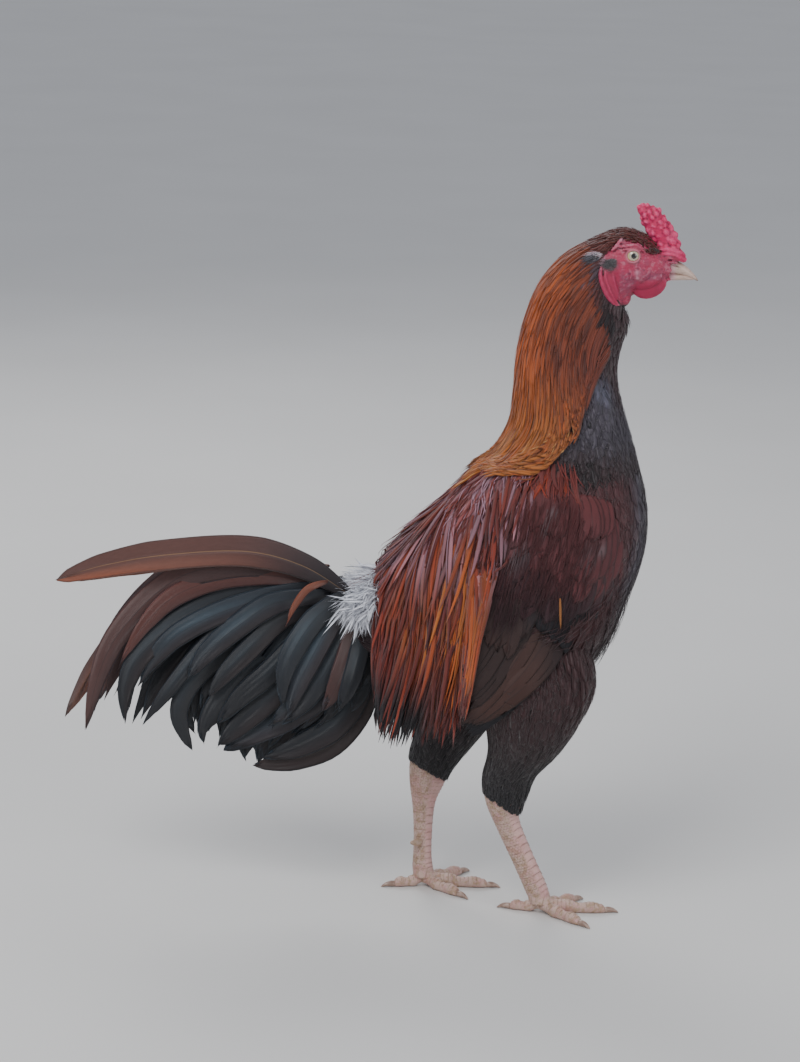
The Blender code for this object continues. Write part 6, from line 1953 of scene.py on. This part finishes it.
def make_legs(mats):
    """Scaly shanks and feet with knuckled toes, and their claws and spurs."""
    for side, sign in SIDES.items():
        shape = leg(side)
        clay = Clay()
        t = np.linspace(LEG_SKIN_START[side], LEG_END, 160)[:, None]
        hem = FEATHER_END[side][0]
        inset = -0.0006 - 0.0022 * ramp(hem, hem - 0.8, t) \
            - FAR_SLIMMER[side] * ramp(6.5, 7.5, t) * (1 - ramp(8.6, 9.6, t))
        rings = shape(t, full_turn(60)[None], inset)
        rings[..., 2] = np.maximum(rings[..., 2], 0.0004)
        clay.loft(rings)
        hub = (shape(LEG_END, 0.0) + shape(LEG_END, math.pi)) / 2
        toes = [add_toe(clay, hub, -sign * math.radians(degrees), length, radius)
                for _, degrees, length, radius in TOES]
        feet = clay.fused(f"leg_skin_{side}", 0.00066, 3, mats["shank"],
                          [f"shank_{side}", f"foot_{side}"])
        points, normals = mesh_arrays(feet)
        where, angle, off = leg_place(LEG_ROWS[side], points)
        on_shank = (1 - ramp(9.2, 9.7, where)) * (off < 0.002)
        low = ramp(0.020, 0.012, points[:, 2])
        height, seam = (shank * on_shank * (1 - low) + toe * low
                        for shank, toe in zip(scale_relief(where, angle), toe_relief(points, toes)))
        rough = grain(points, 900, 2) * 0.00014
        points = points + normals * ((height + rough) * ramp(0.0002, 0.0015, points[:, 2]))[:, None]
        points[:, 2] = np.maximum(points[:, 2], 0.0)
        set_points(feet, points)
        front = ramp(0.0, 0.5, -np.cos(angle)) * (1 - low)
        # Redder down the front, browner towards the back and in blotches, darker in the seams between the
        # scales
        tint = painted("shank", ("shank_red", front * 0.45),
                       ("shank_brown", (1 - front) * (0.30 + 0.45 * ramp(-0.2, 0.5, grain(points, 180, 3)))),
                       (PAINT["shank_red"] * 0.9, 0.40 * ramp(-0.1, 0.5, grain(points + 3.0, 90, 3))),
                       (PAINT["shank_brown"] * 0.42, seam * 0.60),
                       ("pale_skin", 0.35 * ramp(0.1, 0.6, grain(points + 9.0, 520, 2))))
        add_layers(feet, tint, None, flat_unwrap(points))
        make_claws(side, toes, mats)
        make_spur(side, sign, shape, mats)


# A spur's line: metres from the shank's skin, radius
SPUR_LINE = ((-0.003, 0.0046), (0.002, 0.0038), (0.006, 0.0030), (0.0095, 0.0020), (0.0118, 0.0008))


def make_spur(side, sign, shape, mats):
    """A short blunt spur on the inner side of the shank, towards the back."""
    root = shape(8.15, math.radians(-62.0 * sign))
    way = unit(np.array((-0.55, -0.8 * sign, 0.22)))
    spur = swept([root + way * out for out, _ in SPUR_LINE], [radius for _, radius in SPUR_LINE], 14)
    spur.name = f"spur_horn_{side}"
    points, normals = mesh_arrays(spur)
    set_points(spur, points + normals * (grain(points, (500, 500, 1100), 2) * 0.00015)[:, None])
    tint = painted("horn", ("shank_brown", 0.5 + 0.4 * grain(points, 300, 2).clip(-1, 1)))
    add_layers(spur, tint, None, flat_unwrap(points))
    finish_piece(spur, mats["horn"], [f"spur_{side}"])


# A claw's line: share of its length from the toe's end, rise, radius
CLAW_LINE = ((-0.12, 0.0, 0.0030), (0.30, 0.0006, 0.0028), (0.62, 0.0002, 0.0021), (0.86, -0.0012, 0.0012),
             (1.0, -0.0026, 0.0004))


def make_claws(side, toes, mats):
    """The four curved claws of one foot, drawn out from the toes' ends."""
    nails = []
    for _, way, _, tip in toes:
        line = [tip + way * CLAW_LENGTH * share + (0, 0, rise) for share, rise, _ in CLAW_LINE]
        nails.append(swept(line, [radius for *_, radius in CLAW_LINE], 12))
    deselect()
    for nail in nails:
        nail.select_set(True)
    claws = nails[0]
    bpy.context.view_layer.objects.active = claws
    bpy.ops.object.join()
    claws.name = f"claws_{side}"
    points = mesh_arrays(claws)[0]
    points[:, 2] = np.maximum(points[:, 2], 0.0)
    set_points(claws, points)
    tint = painted("horn", ("horn_dark", 0.4 + 0.4 * ramp(-0.3, 0.5, grain(points, 260, 2))))
    add_layers(claws, tint, None, flat_unwrap(points))
    finish_piece(claws, mats["horn"], [f"claw_{side}_{name}" for name, *_ in TOES])


def body_place(points):
    """The station and angle on the body that each point lies nearest to, and how far off it is."""
    t, angle = np.meshgrid(np.linspace(4.0, BODY_END, 160),
                           np.linspace(-math.pi, math.pi, 80, endpoint=False))
    t, angle = t.ravel(), angle.ravel()
    tree = KDTree(len(t))
    for index, point in enumerate(body(t, angle)):
        tree.insert(point, index)
    tree.balance()
    nearest, off = np.array([tree.find(point)[1:] for point in points]).T
    nearest = nearest.astype(int)
    return t[nearest], angle[nearest], off


def plumage_tone(t, angle):
    """The coat's own markings at a place on the body, painted darker as the shade between the feathers."""
    turned = np.degrees(np.abs(angle))
    cape = np.interp(turned, *CAPE_END)
    back = np.interp(t, (11.6, 14.5, 16.5, 19.6), (96, 72, 78, 108))
    neck = painted("rust", ("mahogany", ramp(24, 84, turned) * 0.9), ("gold", 0.5 * ramp(8.4, 11.6, t)))
    under = np.where((t < 12.0)[:, None], throat_tone(t, angle), breast_tone(t, angle))
    on_neck = ramp(0.06, -0.06, np.abs(angle) - hackle_edge(t)) * ramp(0.3, -0.5, t - cape)
    return painted(under, (neck, on_neck),
                   ("maroon", ramp(6, -6, turned - back) * ramp(-0.5, 0.3, t - cape)),
                   ("tail_black", ramp(18.5, 20.0, t))) * 0.6


def make_body_skin(mats):
    """Skin under the feathers of neck, trunk, tail root, thighs and wings: coat colours painted dark as
    shade.
    """
    clay = Clay()
    a = full_turn(56)[None]
    t = np.linspace(5.6, BODY_END, 90)[:, None]
    sunk = 0.0030 * ramp(6.0, 7.2, t) * ramp(12.6, 11.4, t) * ramp(0.2, 0.8, -np.cos(a))
    clay.loft(body(t, a, -0.0016 - sunk))
    for side in SIDES:
        clay.loft(leg(side)(np.linspace(0.0, 6.1, 40)[:, None], a, -0.0012))
    skin = clay.fused("body_skin", 0.0022, 4, mats["body"], ["neck", "torso", "thigh_left", "thigh_right"])
    points = mesh_arrays(skin)[0]
    t, angle, off = body_place(points)
    # Thigh skin: the thigh's colour, blacker towards the bottom, painted darker as shade
    thigh = painted("thigh", ("tar", ramp(0.22, 0.13, points[:, 2]))) * 0.8
    tint = painted(plumage_tone(t, angle), (thigh, ramp(0.006, 0.012, off)))
    add_layers(skin, tint, None, flat_unwrap(points))


# Camera at the photograph's angle: distance, pitch, roll and lens as found from the fence and the bird
CAMERA_AIM = np.array((-0.0687, 0.0, 0.3320))
CAMERA_EYE = np.array((-0.0687, -2.7508, 1.0179))
CAMERA_ROLL = math.radians(1.5)
SENSOR_WIDTH = 36.0

# Focal length as a share of the frame's long side, both in pixels
FOCAL_SHARE = 3300 / 1062


def make_camera():
    """The camera that takes the picture at the photograph's angle."""
    camera = bpy.data.cameras.new("photo_camera")
    camera.sensor_fit = "AUTO"
    camera.sensor_width = SENSOR_WIDTH
    camera.lens = SENSOR_WIDTH * FOCAL_SHARE
    camera.clip_start, camera.clip_end = 0.05, 60.0
    obj = bpy.data.objects.new("photo_camera", camera)
    bpy.context.scene.collection.objects.link(obj)
    turned = Vector(CAMERA_EYE - CAMERA_AIM).to_track_quat("Z", "Y").to_matrix()
    roll = np.array(((math.cos(CAMERA_ROLL), -math.sin(CAMERA_ROLL), 0),
                     (math.sin(CAMERA_ROLL), math.cos(CAMERA_ROLL), 0), (0, 0, 1)))
    matrix = np.array(turned) @ roll
    obj.matrix_world = Matrix.Translation(CAMERA_EYE + PLACE) @ Matrix(matrix.tolist()).to_4x4()
    bpy.context.scene.camera = obj


# Studio lights: name, place, size, watts
LIGHTS = (
    ("key", (-0.9, -1.6, 2.2), 1.3, 42.0),
    ("fill", (1.8, -1.4, 1.0), 1.4, 14.0),
    ("rim", (-0.6, 1.8, 1.8), 1.2, 22.0),
)
LIGHTS_AIM = Vector((0.02, 0.0, 0.33))
SKY = (0.86, 0.90, 1.0, 1.0)
SKY_STRENGTH = 0.58
FLOOR_PAPER = ((0.64, 0.63, 0.61, 1.0), (0.70, 0.69, 0.67, 1.0))
FLOOR_WIDTH = 300
FLOOR_DROP = 0.0002


def make_stage():
    """A plain pale floor and soft studio light from above, with a weaker fill from the side."""
    bpy.ops.mesh.primitive_plane_add(size=FLOOR_WIDTH, location=(0, 0, -FLOOR_DROP))
    floor = bpy.context.object
    floor.name = "floor"
    mat, tree, shader = new_material("floor_paper")
    place = node(tree, "TexCoord", {}).outputs["Object"]
    cloud = node(tree, "TexNoise", {"Scale": 3.0, "Vector": place})
    fill(tree, shader, {"Base Color": mix_colour(tree, *FLOOR_PAPER, cloud.outputs["Fac"]),
                        "Roughness": 0.9})
    floor.data.materials.append(mat)
    world = bpy.data.worlds.new("studio")
    bpy.context.scene.world = world
    world.use_nodes = True
    fill(world.node_tree, world.node_tree.nodes["Background"], {0: SKY, 1: SKY_STRENGTH})
    for name, place, size, power in LIGHTS:
        light = bpy.data.lights.new(name, "AREA")
        light.size, light.energy = size, power
        obj = bpy.data.objects.new(name, light)
        bpy.context.scene.collection.objects.link(obj)
        obj.location = place
        obj.rotation_euler = (Vector(place) - LIGHTS_AIM).to_track_quat("Z", "Y").to_euler()


def main():
    """Builds every piece, then the camera, the floor and the lights."""
    deselect()
    mats = make_materials()
    for make in (make_body_skin, make_head, make_eyes, make_bill, make_legs, make_ear_tufts, make_coats):
        make(mats)
    make_camera()
    make_stage()


main()
